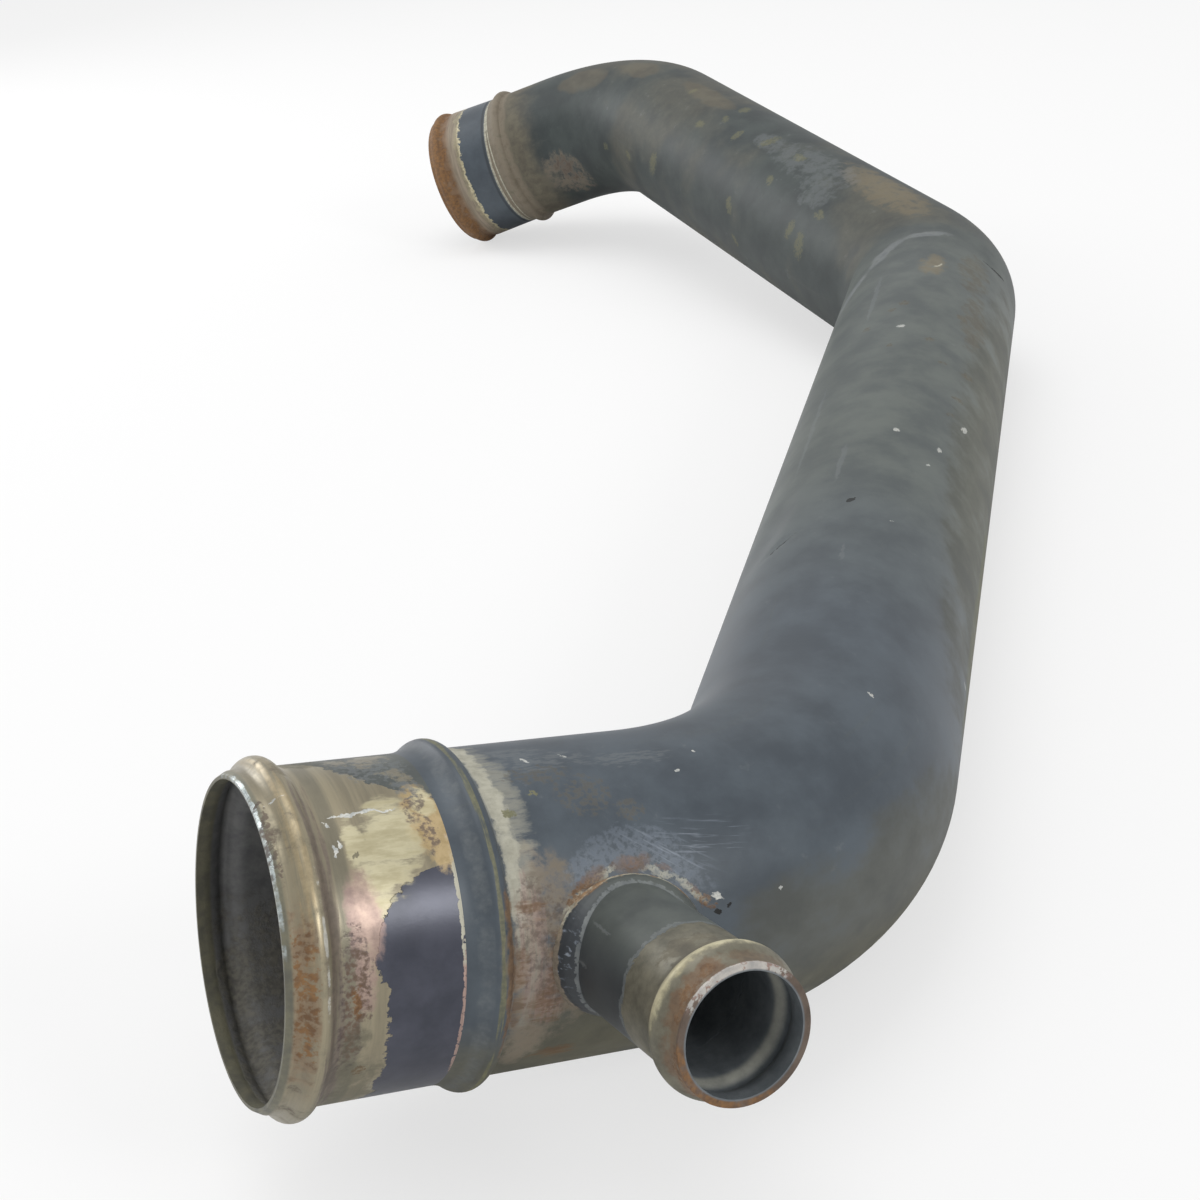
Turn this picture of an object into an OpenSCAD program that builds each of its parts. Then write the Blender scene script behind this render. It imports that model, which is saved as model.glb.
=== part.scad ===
// Coolant pipe: one bent steel tube with a beaded hose end at each mouth,
// and a small beaded branch spigot welded onto its front leg.
// Millimetres. The origin is the centre of the front mouth, +Z is up as the
// pipe lies on a floor, and +Y runs along the long leg.

/* [Main tube] */
// Outside diameter of the main tube
tube_od = 63.5; // [52:0.5:76]
// Wall of the main tube
tube_wall = 1.5; // [1:0.1:2]

/* [Legs] */
// Straight stretch from the front mouth to the first bend
front_leg = 81; // [80:0.5:160]
// Straight stretch between the first and the second bend
long_leg = 337.5; // [60:0.1:600]
// Straight stretch between the second and the third bend
back_leg = 216.5; // [20:0.1:400]
// Straight stretch from the third bend to the far mouth
far_leg = 62; // [48:0.5:160]

/* [Bends] */
// Angle of the first bend
bend_1_angle = 53; // [10:0.1:90]
// Centreline radius of the first bend
bend_1_radius = 78; // [60:0.5:120]
// Angle of the second bend
bend_2_angle = 36.2; // [10:0.1:90]
// Centreline radius of the second bend
bend_2_radius = 61; // [50:0.5:120]
// Angle of the third bend
bend_3_angle = 57.6; // [10:0.1:90]
// Centreline radius of the third bend
bend_3_radius = 76; // [60:0.5:120]
// Turn of the bending plane from the first bend to the second
plane_turn_2 = -5.3; // [-60:0.1:60]
// Turn of the bending plane from the second bend to the third
plane_turn_3 = -32.6; // [-60:0.1:60]
// How far the tube necks in where it is drawn round a bend
bend_draw = 0.1; // [0.1:0.01:0.3]
// Roll about the long leg that brings the far mouth down onto the floor
lie_roll = -164.38; // [-180:0.01:180]

/* [Hose ends of the main tube] */
// Height of the rolled bead at each mouth
mouth_bead_h = 2.3; // [1:0.1:3.4]
// Length of one flank of the mouth bead, from foot to crest
mouth_bead_flank = 4.5; // [3.5:0.1:4.5]
// Radius of the mouth bead's crest
mouth_bead_crest_r = 2.6; // [2.1:0.1:3]
// From the front mouth to the crest of its bead
front_bead_at = 5.9; // [5.9:0.1:12]
// From the far mouth to the crest of its bead
far_bead_at = 4.8; // [4.6:0.1:12]
// Height of the stop bead, which the hose is pushed up against
stop_bead_h = 2.3; // [1:0.1:2.8]
// Length of the stop bead's gentle flank, on the hose side
stop_bead_rise = 6.4; // [5:0.1:8]
// Length of the stop bead's steep flank, on the body side
stop_bead_fall = 3; // [2.9:0.1:4]
// Radius of the stop bead's crest
stop_bead_crest_r = 2.4; // [2.1:0.1:2.6]
// From the front mouth to the crest of its stop bead
front_stop_at = 39.4; // [26:0.1:42]
// From the far mouth to the crest of its stop bead
far_stop_at = 38.7; // [26:0.1:42]
// How far the front rim is turned in at its outer edge
rim_turn = 0.8; // [0.1:0.1:0.9]
// Length of the turned rim
rim_length = 1.4; // [0.5:0.1:1.4]

/* [Branch spigot] */
// Outside diameter of the branch spigot
branch_od = 25.4; // [16:0.1:32]
// Wall of the branch spigot
branch_wall = 1.5; // [1:0.1:2]
// From the front mouth to the branch's axis, along the front leg
branch_at = 65.3; // [60:0.1:66]
// Length of the branch, from the main tube's outside to its mouth
branch_length = 43.05; // [30:0.05:90]
// Direction of the branch, turned from the inside of the first bend
branch_turn = 160; // [90:0.1:270]
// Height of the branch's rolled bead
branch_bead_h = 1.5; // [0.8:0.1:3]
// Length of one flank of the branch's bead
branch_bead_flank = 4.6; // [4:0.1:5.9]
// Radius of the crest of the branch's bead
branch_bead_crest_r = 3.2; // [2.1:0.1:3.6]
// From the branch's mouth to the crest of its bead
branch_bead_at = 6.7; // [6:0.1:12]

/* [Weld] */
// Reach of the weld along the main tube, fore and aft of the branch
weld_foot = 2.9; // [1:0.1:6]
// Reach of the weld along the main tube, at the two sides of the branch
weld_foot_side = 0.9; // [0.5:0.1:4]
// Rise of the weld up the branch, fore and aft
weld_rise = 5; // [2:0.1:8]
// Rise of the weld up the branch, at its two sides
weld_rise_side = 2.6; // [1:0.1:6]
// How far the weld's face crowns over the straight line between its toes
weld_crown = 0.4; // [0.1:0.1:0.6]

/* [Hidden] */
$fn = 96;
tube_r = tube_od / 2;
branch_r = branch_od / 2;
bore_r = tube_r - tube_wall;
branch_bore_r = branch_r - branch_wall;
// From the main tube's axis to the branch's mouth
branch_reach = tube_r + branch_length;
// Points along each arc of a bead
arc_steps = 5;
// Stations round the weld, and points across its face
weld_stations = 72;
weld_steps = 3;
// How far the weld's flat facets stand off the round tubes they seat on
seat_gap = 0.015;
// How far a straight stretch runs into the bend next to it
lap = 0.5;
// How far a cutter runs past what it cuts
past = 1;

// Points of an arc about (along, radius), as [along, radius] pairs.
// The angle is measured from the outward radial direction.
function arc(along, out, r, from, to) =
    [for (i = [0:arc_steps]) let (a = from + (to - from) * i / arc_steps)
        [along + r * sin(a), out + r * cos(a)]];

// Sum of the root and crest radii that makes a flank of this length and height.
function flank_radii(flank, h) = (flank * flank + h * h) / (2 * h);

// Slope of a flank where its root arc meets its crest arc.
function flank_slope(flank, h) = asin(flank / flank_radii(flank, h));

// Outline of a rolled bead on a tube of radius r, from foot to foot.
// depth carries it parallel, inwards through the wall.
function bead(r, at, h, rise, fall, crest_r, depth) =
    let (root_in = flank_radii(rise, h) - crest_r,
         root_out = flank_radii(fall, h) - crest_r,
         slope_in = flank_slope(rise, h),
         slope_out = flank_slope(fall, h))
    concat(
        arc(at - rise, r + root_in, root_in + depth, 180, 180 - slope_in),
        arc(at, r + h - crest_r, crest_r - depth, -slope_in, slope_out),
        arc(at + fall, r + root_out, root_out + depth, 180 + slope_out, 180));

function mouth_bead(at, depth) =
    bead(tube_r, at, mouth_bead_h, mouth_bead_flank, mouth_bead_flank,
         mouth_bead_crest_r, depth);

function stop_bead(at, depth) =
    bead(tube_r, at, stop_bead_h, stop_bead_rise, stop_bead_fall,
         stop_bead_crest_r, depth);

function branch_bead(depth) =
    bead(branch_r, branch_bead_at, branch_bead_h, branch_bead_flank,
         branch_bead_flank, branch_bead_crest_r, depth);

function reversed(list) = [for (i = [len(list) - 1:-1:0]) list[i]];

// Turns a wall drawn as [along, radius] points round the +Z axis.
module revolved(outside, inside) {
    rotate_extrude()
        polygon([for (p = concat(outside, reversed(inside))) [p[1], p[0]]]);
}

// A beaded hose end, mouth at the origin, running along +Z for one leg.
module hose_end(leg, bead_at, stop_at, turned_in) {
    outside = concat(
        turned_in > 0 ? [[0, tube_r - turned_in], [rim_length, tube_r]] : [[0, tube_r]],
        mouth_bead(bead_at, 0), stop_bead(stop_at, 0), [[leg + lap, tube_r]]);
    inside = concat(
        [[0, bore_r]], mouth_bead(bead_at, tube_wall), stop_bead(stop_at, tube_wall),
        [[leg + lap, bore_r]]);
    revolved(outside, inside);
}

// A straight stretch of plain tube along +Z, lapped into the bends at both ends.
module straight(leg) {
    rotate_extrude() translate([bore_r, -lap]) square([tube_wall, leg + 2 * lap]);
}

// Sweeps a section round a bend that starts along +Z and turns towards +X.
module swept(angle, radius) {
    translate([radius, 0, 0]) rotate([90, 0, 0]) rotate([0, 0, 180 - angle])
        rotate_extrude(angle = angle) translate([radius, 0]) children();
}

module bend(angle, radius) {
    swept(angle, radius) difference() {
        circle(r = tube_r - bend_draw);
        circle(r = bore_r - bend_draw);
    }
}

// Carries what follows to the end of a bend.
module after_bend(angle, radius) {
    translate([radius, 0, 0]) rotate([0, angle, 0]) translate([-radius, 0, 0]) children();
}

// Lays the pipe down: from the front leg along +Z to the pose in which it rests.
module laid() {
    rotate([0, lie_roll, 0]) rotate([-90, 0, 0]) rotate([0, -bend_1_angle, 0]) children();
}

// Puts the branch's axis on +Z, with the main tube's axis along +X through its foot.
module on_branch() {
    translate([0, 0, branch_at]) rotate([0, 0, branch_turn]) rotate([0, 90, 0]) children();
}

// The main tube as bent, front mouth at the origin and front leg along +Z.
module bent_tube() {
    hose_end(front_leg, front_bead_at, front_stop_at, rim_turn);
    translate([0, 0, front_leg]) {
        bend(bend_1_angle, bend_1_radius);
        after_bend(bend_1_angle, bend_1_radius) rotate([0, 0, plane_turn_2]) {
            straight(long_leg);
            translate([0, 0, long_leg]) {
                bend(bend_2_angle, bend_2_radius);
                after_bend(bend_2_angle, bend_2_radius) rotate([0, 0, plane_turn_3]) {
                    straight(back_leg);
                    translate([0, 0, back_leg]) {
                        bend(bend_3_angle, bend_3_radius);
                        after_bend(bend_3_angle, bend_3_radius)
                            translate([0, 0, far_leg]) mirror([0, 0, 1])
                                hose_end(far_leg, far_bead_at, far_stop_at, 0);
                    }
                }
            }
        }
    }
}

module main_tube() {
    color("#4d565c") laid() difference() {
        bent_tube();
        on_branch() cylinder(r = branch_bore_r, h = tube_r + past);
    }
}

// The outside of the main tube as a solid, where the branch sits on it.
module main_tube_core() {
    cylinder(r = tube_r, h = front_leg + lap);
    translate([0, 0, front_leg]) swept(bend_1_angle, bend_1_radius)
        circle(r = tube_r - bend_draw);
}

module branch_spigot() {
    outside = concat([[0, branch_r]], branch_bead(0), [[branch_reach, branch_r]]);
    inside = concat([[0, branch_bore_r]], branch_bead(branch_wall),
                    [[branch_reach, branch_bore_r]]);
    color("#57605f") laid() difference() {
        on_branch() translate([0, 0, branch_reach]) mirror([0, 0, 1])
            revolved(outside, inside);
        main_tube_core();
    }
}

// Height over the main tube's axis of its surface, this far to the side of the axis.
function crown_height(side) = sqrt(tube_r * tube_r - side * side);

// A point of the weld's seat on the main tube, this far out from the branch's axis.
function weld_seat(r, a) = [r, crown_height(r * sin(a)) + seat_gap];

// A size of the weld's section that goes from one value fore and aft to another at
// the two sides, where the main tube falls away.
function round_weld(fore_aft, side, a) = side + (fore_aft - side) * pow(cos(a), 2);

// One station of the weld's section: down the branch, out along the main tube to the
// toe, and back over the crowned face.
function weld_station(a) =
    let (root_r = branch_r + seat_gap,
         toe_r = branch_r + round_weld(weld_foot, weld_foot_side, a),
         toe = weld_seat(toe_r, a),
         top = weld_seat(root_r, a) + [0, round_weld(weld_rise, weld_rise_side, a)],
         face = top - toe,
         across = [face[1], -face[0]] / norm(face))
    [for (p = concat(
        [top],
        [for (i = [0:weld_steps]) weld_seat(root_r + (toe_r - root_r) * i / weld_steps, a)],
        [for (i = [1:weld_steps]) let (t = i / (weld_steps + 1))
            toe + face * t + across * weld_crown * 4 * t * (1 - t)]))
        [p[0] * cos(a), p[0] * sin(a), p[1]]];

module branch_weld() {
    rings = [for (i = [0:weld_stations - 1]) weld_station(i * 360 / weld_stations)];
    n = len(rings[0]);
    color("#6b6a5c") laid() on_branch() polyhedron(
        points = [for (ring = rings) each ring],
        faces = [for (i = [0:weld_stations - 1], k = [0:n - 1])
            let (j = (i + 1) % weld_stations, m = (k + 1) % n)
            each [[i * n + k, i * n + m, j * n + m], [i * n + k, j * n + m, j * n + k]]]);
}

main_tube();
branch_spigot();
branch_weld();
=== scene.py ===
"""The looks of a used coolant pipe: a bent steel tube with beaded hose ends and a branch.

The pipe is modelled in the frame of its CAD part. Sizes are millimetres until a mesh is
made, and metres in the meshes. Places on the tube are given as the distance along its
centreline from the front mouth and the angle around it.
"""

from __future__ import annotations

import logging
import math
from dataclasses import dataclass, field
from enum import Enum
from typing import Callable, Sequence

import bpy
import numpy as np
from mathutils import Matrix, Vector


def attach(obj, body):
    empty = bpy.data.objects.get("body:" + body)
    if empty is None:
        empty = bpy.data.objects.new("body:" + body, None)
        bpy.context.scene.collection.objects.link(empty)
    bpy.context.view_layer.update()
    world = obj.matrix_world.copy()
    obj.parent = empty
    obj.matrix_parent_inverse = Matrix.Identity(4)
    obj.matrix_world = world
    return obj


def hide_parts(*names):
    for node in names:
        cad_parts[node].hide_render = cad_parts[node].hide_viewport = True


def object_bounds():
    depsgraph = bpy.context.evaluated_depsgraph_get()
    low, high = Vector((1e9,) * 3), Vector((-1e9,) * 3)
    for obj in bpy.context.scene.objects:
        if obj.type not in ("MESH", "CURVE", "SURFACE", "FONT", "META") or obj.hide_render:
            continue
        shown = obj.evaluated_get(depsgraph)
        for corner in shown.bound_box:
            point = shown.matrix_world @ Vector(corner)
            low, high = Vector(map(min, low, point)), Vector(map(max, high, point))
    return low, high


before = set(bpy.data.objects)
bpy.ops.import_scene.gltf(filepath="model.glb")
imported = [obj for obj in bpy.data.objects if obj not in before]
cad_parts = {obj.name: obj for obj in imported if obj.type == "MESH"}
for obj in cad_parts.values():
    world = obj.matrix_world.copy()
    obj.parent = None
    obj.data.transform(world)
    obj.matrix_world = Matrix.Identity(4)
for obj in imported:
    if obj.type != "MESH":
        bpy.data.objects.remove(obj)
CAD_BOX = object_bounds()
LOG = logging.getLogger("coolant_pipe")
MM = 0.001
Number = int | float
Piece = bpy.types.Object
Array = np.ndarray


def tone(code: str) -> tuple[float, float, float, float]:
    """Turns a hex colour as seen on a screen into a linear colour.

    Args:
        code: Six hex digits.

    Returns:
        The linear colour with an alpha of 1.
    """
    parts = [int(code[i : i + 2], 16) / 255 for i in (0, 2, 4)]
    linear = [p / 12.92 if p <= 0.04045 else ((p + 0.055) / 1.055) ** 2.4 for p in parts]
    return (linear[0], linear[1], linear[2], 1.0)


def turned(angle: float, axis: Sequence[float]) -> Array:
    """Returns the matrix that turns by an angle in degrees about an axis."""
    return np.array(Matrix.Rotation(math.radians(angle), 3, Vector(axis)))


def deselect_all() -> None:
    """Leaves edit mode and deselects every object."""
    if bpy.context.mode != "OBJECT":
        bpy.ops.object.mode_set(mode="OBJECT")
    bpy.ops.object.select_all(action="DESELECT")


def take(piece: Piece) -> None:
    """Makes a piece the only selected object, and the active one.

    Args:
        piece: The mesh object.
    """
    deselect_all()
    piece.select_set(True)
    bpy.context.view_layer.objects.active = piece


def vertices_of(piece: Piece) -> Array:
    """Returns a mesh's vertices as rows, in millimetres.

    Args:
        piece: The mesh object.

    Returns:
        One row for each vertex.
    """
    flat = np.empty(len(piece.data.vertices) * 3)
    piece.data.vertices.foreach_get("co", flat)
    return flat.reshape(-1, 3) / MM


def normals_of(piece: Piece) -> Array:
    """Returns a mesh's vertex normals as rows.

    Args:
        piece: The mesh object.

    Returns:
        One row for each vertex.
    """
    flat = np.empty(len(piece.data.vertices) * 3)
    piece.data.vertices.foreach_get("normal", flat)
    return flat.reshape(-1, 3)


def apply_modifier(piece: Piece, kind: str, settings: dict[str, object]) -> None:
    """Adds a modifier to a piece and applies it.

    Args:
        piece: The mesh object.
        kind: The modifier's type.
        settings: Its settings by name.
    """
    take(piece)
    modifier = piece.modifiers.new(kind.title(), kind)
    for name, value in settings.items():
        setattr(modifier, name, value)
    bpy.ops.object.modifier_apply(modifier=modifier.name)


def press(piece: Piece, weights: Array, height: float) -> None:
    """Raises or presses in a part of a skin along its normals.

    Args:
        piece: The mesh object.
        weights: One weight from 0 to 1 for each vertex.
        height: Height in millimetres at a weight of 1, negative to press in.
    """
    group = piece.vertex_groups.new(name="press")
    for index in np.nonzero(weights > 0.001)[0]:
        group.add([int(index)], float(min(weights[index], 1.0)), "REPLACE")
    apply_modifier(
        piece,
        "DISPLACE",
        {"vertex_group": group.name, "strength": height * MM, "mid_level": 0.0},
    )
    piece.vertex_groups.clear()


def pick_vertices(piece: Piece, chosen: Array) -> None:
    """Enters edit mode with the chosen vertices of the active piece selected.

    Args:
        piece: The active mesh object.
        chosen: One truth value for each vertex.
    """
    bpy.ops.object.mode_set(mode="EDIT")
    bpy.ops.mesh.select_mode(type="VERT")
    bpy.ops.mesh.select_all(action="DESELECT")
    bpy.ops.object.mode_set(mode="OBJECT")
    piece.data.vertices.foreach_set("select", chosen)
    bpy.ops.object.mode_set(mode="EDIT")


def edit(piece: Piece, operator: Callable[..., object], **settings: object) -> None:
    """Runs an operator of edit mode on the whole of a piece.

    Args:
        piece: The mesh object.
        operator: The operator.
        settings: Its settings by name.
    """
    take(piece)
    bpy.ops.object.mode_set(mode="EDIT")
    bpy.ops.mesh.select_all(action="SELECT")
    operator(**settings)
    bpy.ops.object.mode_set(mode="OBJECT")


def scale(share: float, centre: Array) -> None:
    """Scales what is selected about a centre in millimetres."""
    bpy.ops.transform.resize(value=(share,) * 3, center_override=Vector(centre) * MM)


def thicken(piece: Piece, wall: float) -> None:
    """Gives a skin a wall on its inside, of a thickness in millimetres."""
    apply_modifier(piece, "SOLIDIFY",
                   {"thickness": wall * MM, "offset": -1.0, "use_even_offset": True})


def dress(piece: Piece, material: bpy.types.Material) -> None:
    """Gives a piece its one material."""
    piece.data.materials.clear()
    piece.data.materials.append(material)


def store(piece: Piece, name: str, kind: str, values: Array) -> None:
    """Stores one value for each vertex as an attribute that the finishes read.

    Args:
        piece: The mesh object.
        name: The attribute's name.
        kind: FLOAT or FLOAT_VECTOR.
        values: One row for each vertex.
    """
    attribute = piece.data.attributes.new(name, kind, "POINT")
    key = "vector" if kind == "FLOAT_VECTOR" else "value"
    attribute.data.foreach_set(key, np.ascontiguousarray(values, dtype=np.float32).ravel())


def store_lining(piece: Piece, outward: Array) -> None:
    """Stores how far each vertex is turned inward, from 0 to 1."""
    facing = (normals_of(piece) * outward).sum(axis=1)
    store(piece, "lining", "FLOAT", 0.5 - 0.5 * facing)


# The shape of the tube


@dataclass(frozen=True)
class Part:
    """A part of the centreline: its start, the frame there in columns, and its place."""

    start: Array
    axes: Array
    along: float

    @property
    def ahead(self) -> Array:
        """The direction in which the part starts."""
        return self.axes[:, 2]


@dataclass(frozen=True)
class Leg(Part):
    """A straight part with its length."""

    length: float


@dataclass(frozen=True)
class Bend(Part):
    """A bend: the way to its centre, its radius and its angle in degrees."""

    inward: Array
    radius: float
    angle: float

    @property
    def centre(self) -> Array:
        """The centre that the bend turns about."""
        return self.start + self.inward * self.radius

    @property
    def axis(self) -> Array:
        """The axis that the bend turns about, by the right-hand rule."""
        return np.cross(self.ahead, self.inward)

    @property
    def length(self) -> float:
        """Length of the centreline through the bend."""
        return math.radians(self.angle) * self.radius


@dataclass(frozen=True)
class Route:
    """The centreline of the main tube, as bent and as it lies on the floor."""

    legs_mm: tuple[float, ...] = (81.0, 337.5, 216.5, 62.0)
    bend_angles: tuple[float, ...] = (53.0, 36.2, 57.6)
    bend_radii: tuple[float, ...] = (78.0, 61.0, 76.0)
    plane_turns: tuple[float, ...] = (0.0, -5.3, -32.6)
    lie_roll: float = -164.38
    overrun: float = 9.0

    def parts(self) -> list[Leg | Bend]:
        """Lists the legs and bends in order from the front mouth.

        Returns:
            Legs and bends by turns, each with its frame carried along without twist.
        """
        axes = (
            turned(self.lie_roll, (0, 1, 0))
            @ turned(-90, (1, 0, 0))
            @ turned(-self.bend_angles[0], (0, 1, 0))
        )
        place, along, twist = np.zeros(3), 0.0, 0.0
        found: list[Leg | Bend] = []
        for index, length in enumerate(self.legs_mm):
            found.append(Leg(place, axes, along, length))
            place, along = place + axes[:, 2] * length, along + length
            if index < len(self.bend_angles):
                twist += self.plane_turns[index]
                turn = math.radians(twist)
                inward = axes @ np.array([math.cos(turn), math.sin(turn), 0.0])
                bend = Bend(
                    place, axes, along, inward, self.bend_radii[index], self.bend_angles[index]
                )
                found.append(bend)
                about = turned(bend.angle, bend.axis)
                place, axes = bend.centre + about @ (-inward * bend.radius), about @ axes
                along += bend.length
        return found

    @property
    def length(self) -> float:
        """Length of the whole centreline."""
        last = self.parts()[-1]
        return last.along + last.length

    def locate(self, points: Array) -> tuple[Array, Array, Array]:
        """Finds where points lie along and around the tube.

        Args:
            points: Rows of points in millimetres.

        Returns:
            The distance along, the radial offset in the carried frame as two columns,
            and the unit radial direction in space as three columns.
        """
        nearest = np.full(len(points), np.inf)
        along = np.zeros(len(points))
        offset = np.zeros((len(points), 2))
        outward = np.zeros((len(points), 3))
        for part in self.parts():
            if isinstance(part, Leg):
                last = part.along + part.length > self.length - 1
                low = 0.0 if part.along > 0 else -self.overrun
                high = part.length + (self.overrun if last else 0.0)
                run = np.clip((points - part.start) @ part.ahead, low, high)
                radial = points - part.start - np.outer(run, part.ahead)
                local = radial @ part.axes[:, :2]
            else:
                away = points - part.centre
                swung = np.arctan2(away @ part.ahead, -(away @ part.inward))
                swung = np.clip(swung, 0.0, math.radians(part.angle))
                spoke = np.outer(np.sin(swung), part.ahead)
                spoke -= np.outer(np.cos(swung), part.inward)
                radial = away - spoke * part.radius
                in_plane = -(radial * spoke).sum(axis=1)
                across = radial @ part.axis
                local = np.outer(in_plane, part.inward @ part.axes[:, :2])
                local += np.outer(across, part.axis @ part.axes[:, :2])
                run = swung * part.radius
            distance = np.linalg.norm(radial, axis=1)
            closer = distance < nearest
            nearest[closer] = distance[closer]
            along[closer] = part.along + run[closer]
            offset[closer] = local[closer]
            outward[closer] = radial[closer] / np.maximum(distance[closer], 1e-9)[:, None]
        return along, offset, outward


@dataclass(frozen=True)
class Bead:
    """A rolled bead: its crest's place from the mouth, its height, flanks and crest radius."""

    at: float
    height: float
    rise: float
    fall: float
    crest_radius: float
    steps: int = 6

    def profile(self, radius: float) -> list[tuple[float, float]]:
        """Draws the bead's outline on a tube.

        Args:
            radius: The tube's outside radius.

        Returns:
            Points as distance from the mouth and radius, from foot to foot.
        """
        points: list[tuple[float, float]] = []
        for side, flank in ((-1, self.rise), (1, self.fall)):
            radii = (flank * flank + self.height * self.height) / (2 * self.height)
            root = radii - self.crest_radius
            slope = math.asin(flank / radii)
            steps = [slope * i / self.steps for i in range(self.steps + 1)]
            foot = [(self.at + side * (flank - root * math.sin(a)),
                     radius + root * (1 - math.cos(a))) for a in steps]
            crest = [(self.at + side * self.crest_radius * math.sin(a),
                      radius + self.height - self.crest_radius * (1 - math.cos(a)))
                     for a in reversed(steps)]
            half = foot + crest[1:]
            points += half if side < 0 else list(reversed(half))[1:]
        return points


class Skin:
    """A skin of rings that grows from its first ring along a tube, in edit mode."""

    def __init__(self, name: str, centre: Array, axes: Array, radius: float,
                 around: int) -> None:
        """Adds the first ring and leaves it selected in edit mode.

        Args:
            name: Name of the piece.
            centre: Centre of the first ring, in millimetres.
            axes: Frame whose third column is the tube's direction.
            radius: Radius of the ring in millimetres.
            around: Number of vertices round it.
        """
        deselect_all()
        bpy.ops.mesh.primitive_circle_add(
            vertices=around,
            radius=radius * MM,
            location=Vector(centre) * MM,
            rotation=Matrix(axes.tolist()).to_euler(),
        )
        self.piece = bpy.context.object
        self.piece.name = name
        self.piece.data.name = name
        bpy.ops.object.transform_apply(location=True, rotation=True, scale=True)
        bpy.ops.object.mode_set(mode="EDIT")
        bpy.ops.mesh.select_mode(type="VERT")
        bpy.ops.mesh.select_all(action="SELECT")
        self.centre = np.asarray(centre, float)
        self.radius = radius

    def step(self, direction: Array, distance: float, radius: float) -> None:
        """Extrudes the last ring by one step and gives the new ring a radius.

        Args:
            direction: Unit direction of the step.
            distance: Its length in millimetres.
            radius: Radius of the new ring in millimetres.
        """
        move = Vector(direction * distance) * MM
        bpy.ops.mesh.extrude_region_move(TRANSFORM_OT_translate={"value": move})
        self.centre = self.centre + direction * distance
        if abs(radius - self.radius) > 1e-6:
            scale(radius / self.radius, self.centre)
            self.radius = radius

    def run(self, direction: Array, length: float, spacing: float) -> None:
        """Extrudes the last ring over a straight stretch in even steps.

        Args:
            direction: Unit direction of the stretch.
            length: Its length in millimetres.
            spacing: The widest step in millimetres.
        """
        steps = max(1, math.ceil(length / spacing))
        for _ in range(steps):
            self.step(direction, length / steps, self.radius)

    def swing(self, bend: Bend, spacing: float) -> None:
        """Spins the last ring round a bend.

        Args:
            bend: The bend that starts at the last ring.
            spacing: The widest step along the centreline in millimetres.
        """
        bpy.ops.mesh.spin(
            steps=max(2, math.ceil(bend.length / spacing)),
            angle=math.radians(bend.angle),
            center=Vector(bend.centre) * MM,
            axis=-Vector(bend.axis),  # the operator turns by the left-hand rule
        )
        about = turned(bend.angle, bend.axis)
        self.centre = bend.centre + about @ (-bend.inward * bend.radius)

    def close(self) -> Piece:
        """Leaves edit mode and returns the piece with its normals outward.

        Returns:
            The piece.
        """
        bpy.ops.mesh.select_all(action="SELECT")
        bpy.ops.mesh.remove_doubles(threshold=0.01 * MM)
        bpy.ops.mesh.normals_make_consistent(inside=False)
        bpy.ops.object.mode_set(mode="OBJECT")
        return self.piece


def face_outward(piece: Piece, outward: Array) -> None:
    """Turns an open skin's faces so that most normals point along the given directions.

    Args:
        piece: The skin.
        outward: One direction for each vertex.
    """
    if float((normals_of(piece) * outward).sum()) < 0:
        edit(piece, bpy.ops.mesh.flip_normals)


def cylinder(name: str, foot: Array, direction: Array, radius: float, length: float,
             around: int = 96) -> Piece:
    """Adds a plain cylinder to cut with.

    Args:
        name: Name of the cutter.
        foot: Centre of its foot in millimetres.
        direction: Unit direction of its axis.
        radius: Radius in millimetres.
        length: Length in millimetres.
        around: Number of sides.

    Returns:
        The cylinder with its place in its mesh.
    """
    deselect_all()
    middle = foot + direction * length / 2
    bpy.ops.mesh.primitive_cylinder_add(
        vertices=around,
        radius=radius * MM,
        depth=length * MM,
        location=Vector(middle) * MM,
        rotation=Vector(direction).to_track_quat("Z", "Y").to_euler(),
    )
    cutter = bpy.context.object
    cutter.name = name
    bpy.ops.object.transform_apply(location=True, rotation=True, scale=True)
    return cutter


def cut(piece: Piece, cutter: Piece) -> None:
    """Cuts a piece with a cutter, which is then deleted."""
    apply_modifier(piece, "BOOLEAN",
                   {"operation": "DIFFERENCE", "object": cutter, "solver": "EXACT"})
    bpy.data.objects.remove(cutter, do_unlink=True)


def soften(piece: Piece, angle: float = 38.0) -> None:
    """Shades a piece smooth, but for edges sharper than an angle in degrees."""
    take(piece)
    bpy.ops.object.shade_smooth_by_angle(angle=math.radians(angle))


def bump_weights(along: Array, angle: Array, centre: tuple[float, float],
                 size: tuple[float, float], turn: float, radius: float) -> Array:
    """Weights a skin's vertices by a soft elongated bump.

    Args:
        along: Distance along the tube of each vertex.
        angle: Angle around the tube of each vertex, in degrees.
        centre: The bump's place along and around.
        size: Half its length and half its width, in millimetres.
        turn: Turn of its length away from the tube's direction, in degrees.
        radius: The tube's radius.

    Returns:
        Weights from 0 to 1.
    """
    run = along - centre[0]
    arc = (np.mod(angle - centre[1] + 180, 360) - 180) * math.radians(1) * radius
    slant = math.radians(turn)
    u = (run * math.cos(slant) + arc * math.sin(slant)) / size[0]
    v = (arc * math.cos(slant) - run * math.sin(slant)) / size[1]
    far = np.clip(np.sqrt(u * u + v * v), 0, 1)
    return (1 - far * far) ** 2


# The language of the finishes


# How far mottling is spread before it is cut into flecks, and the bite at which flecks
# cover the whole of a full mask.
SPREAD = 4.5
FULL = 1.6


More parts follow.
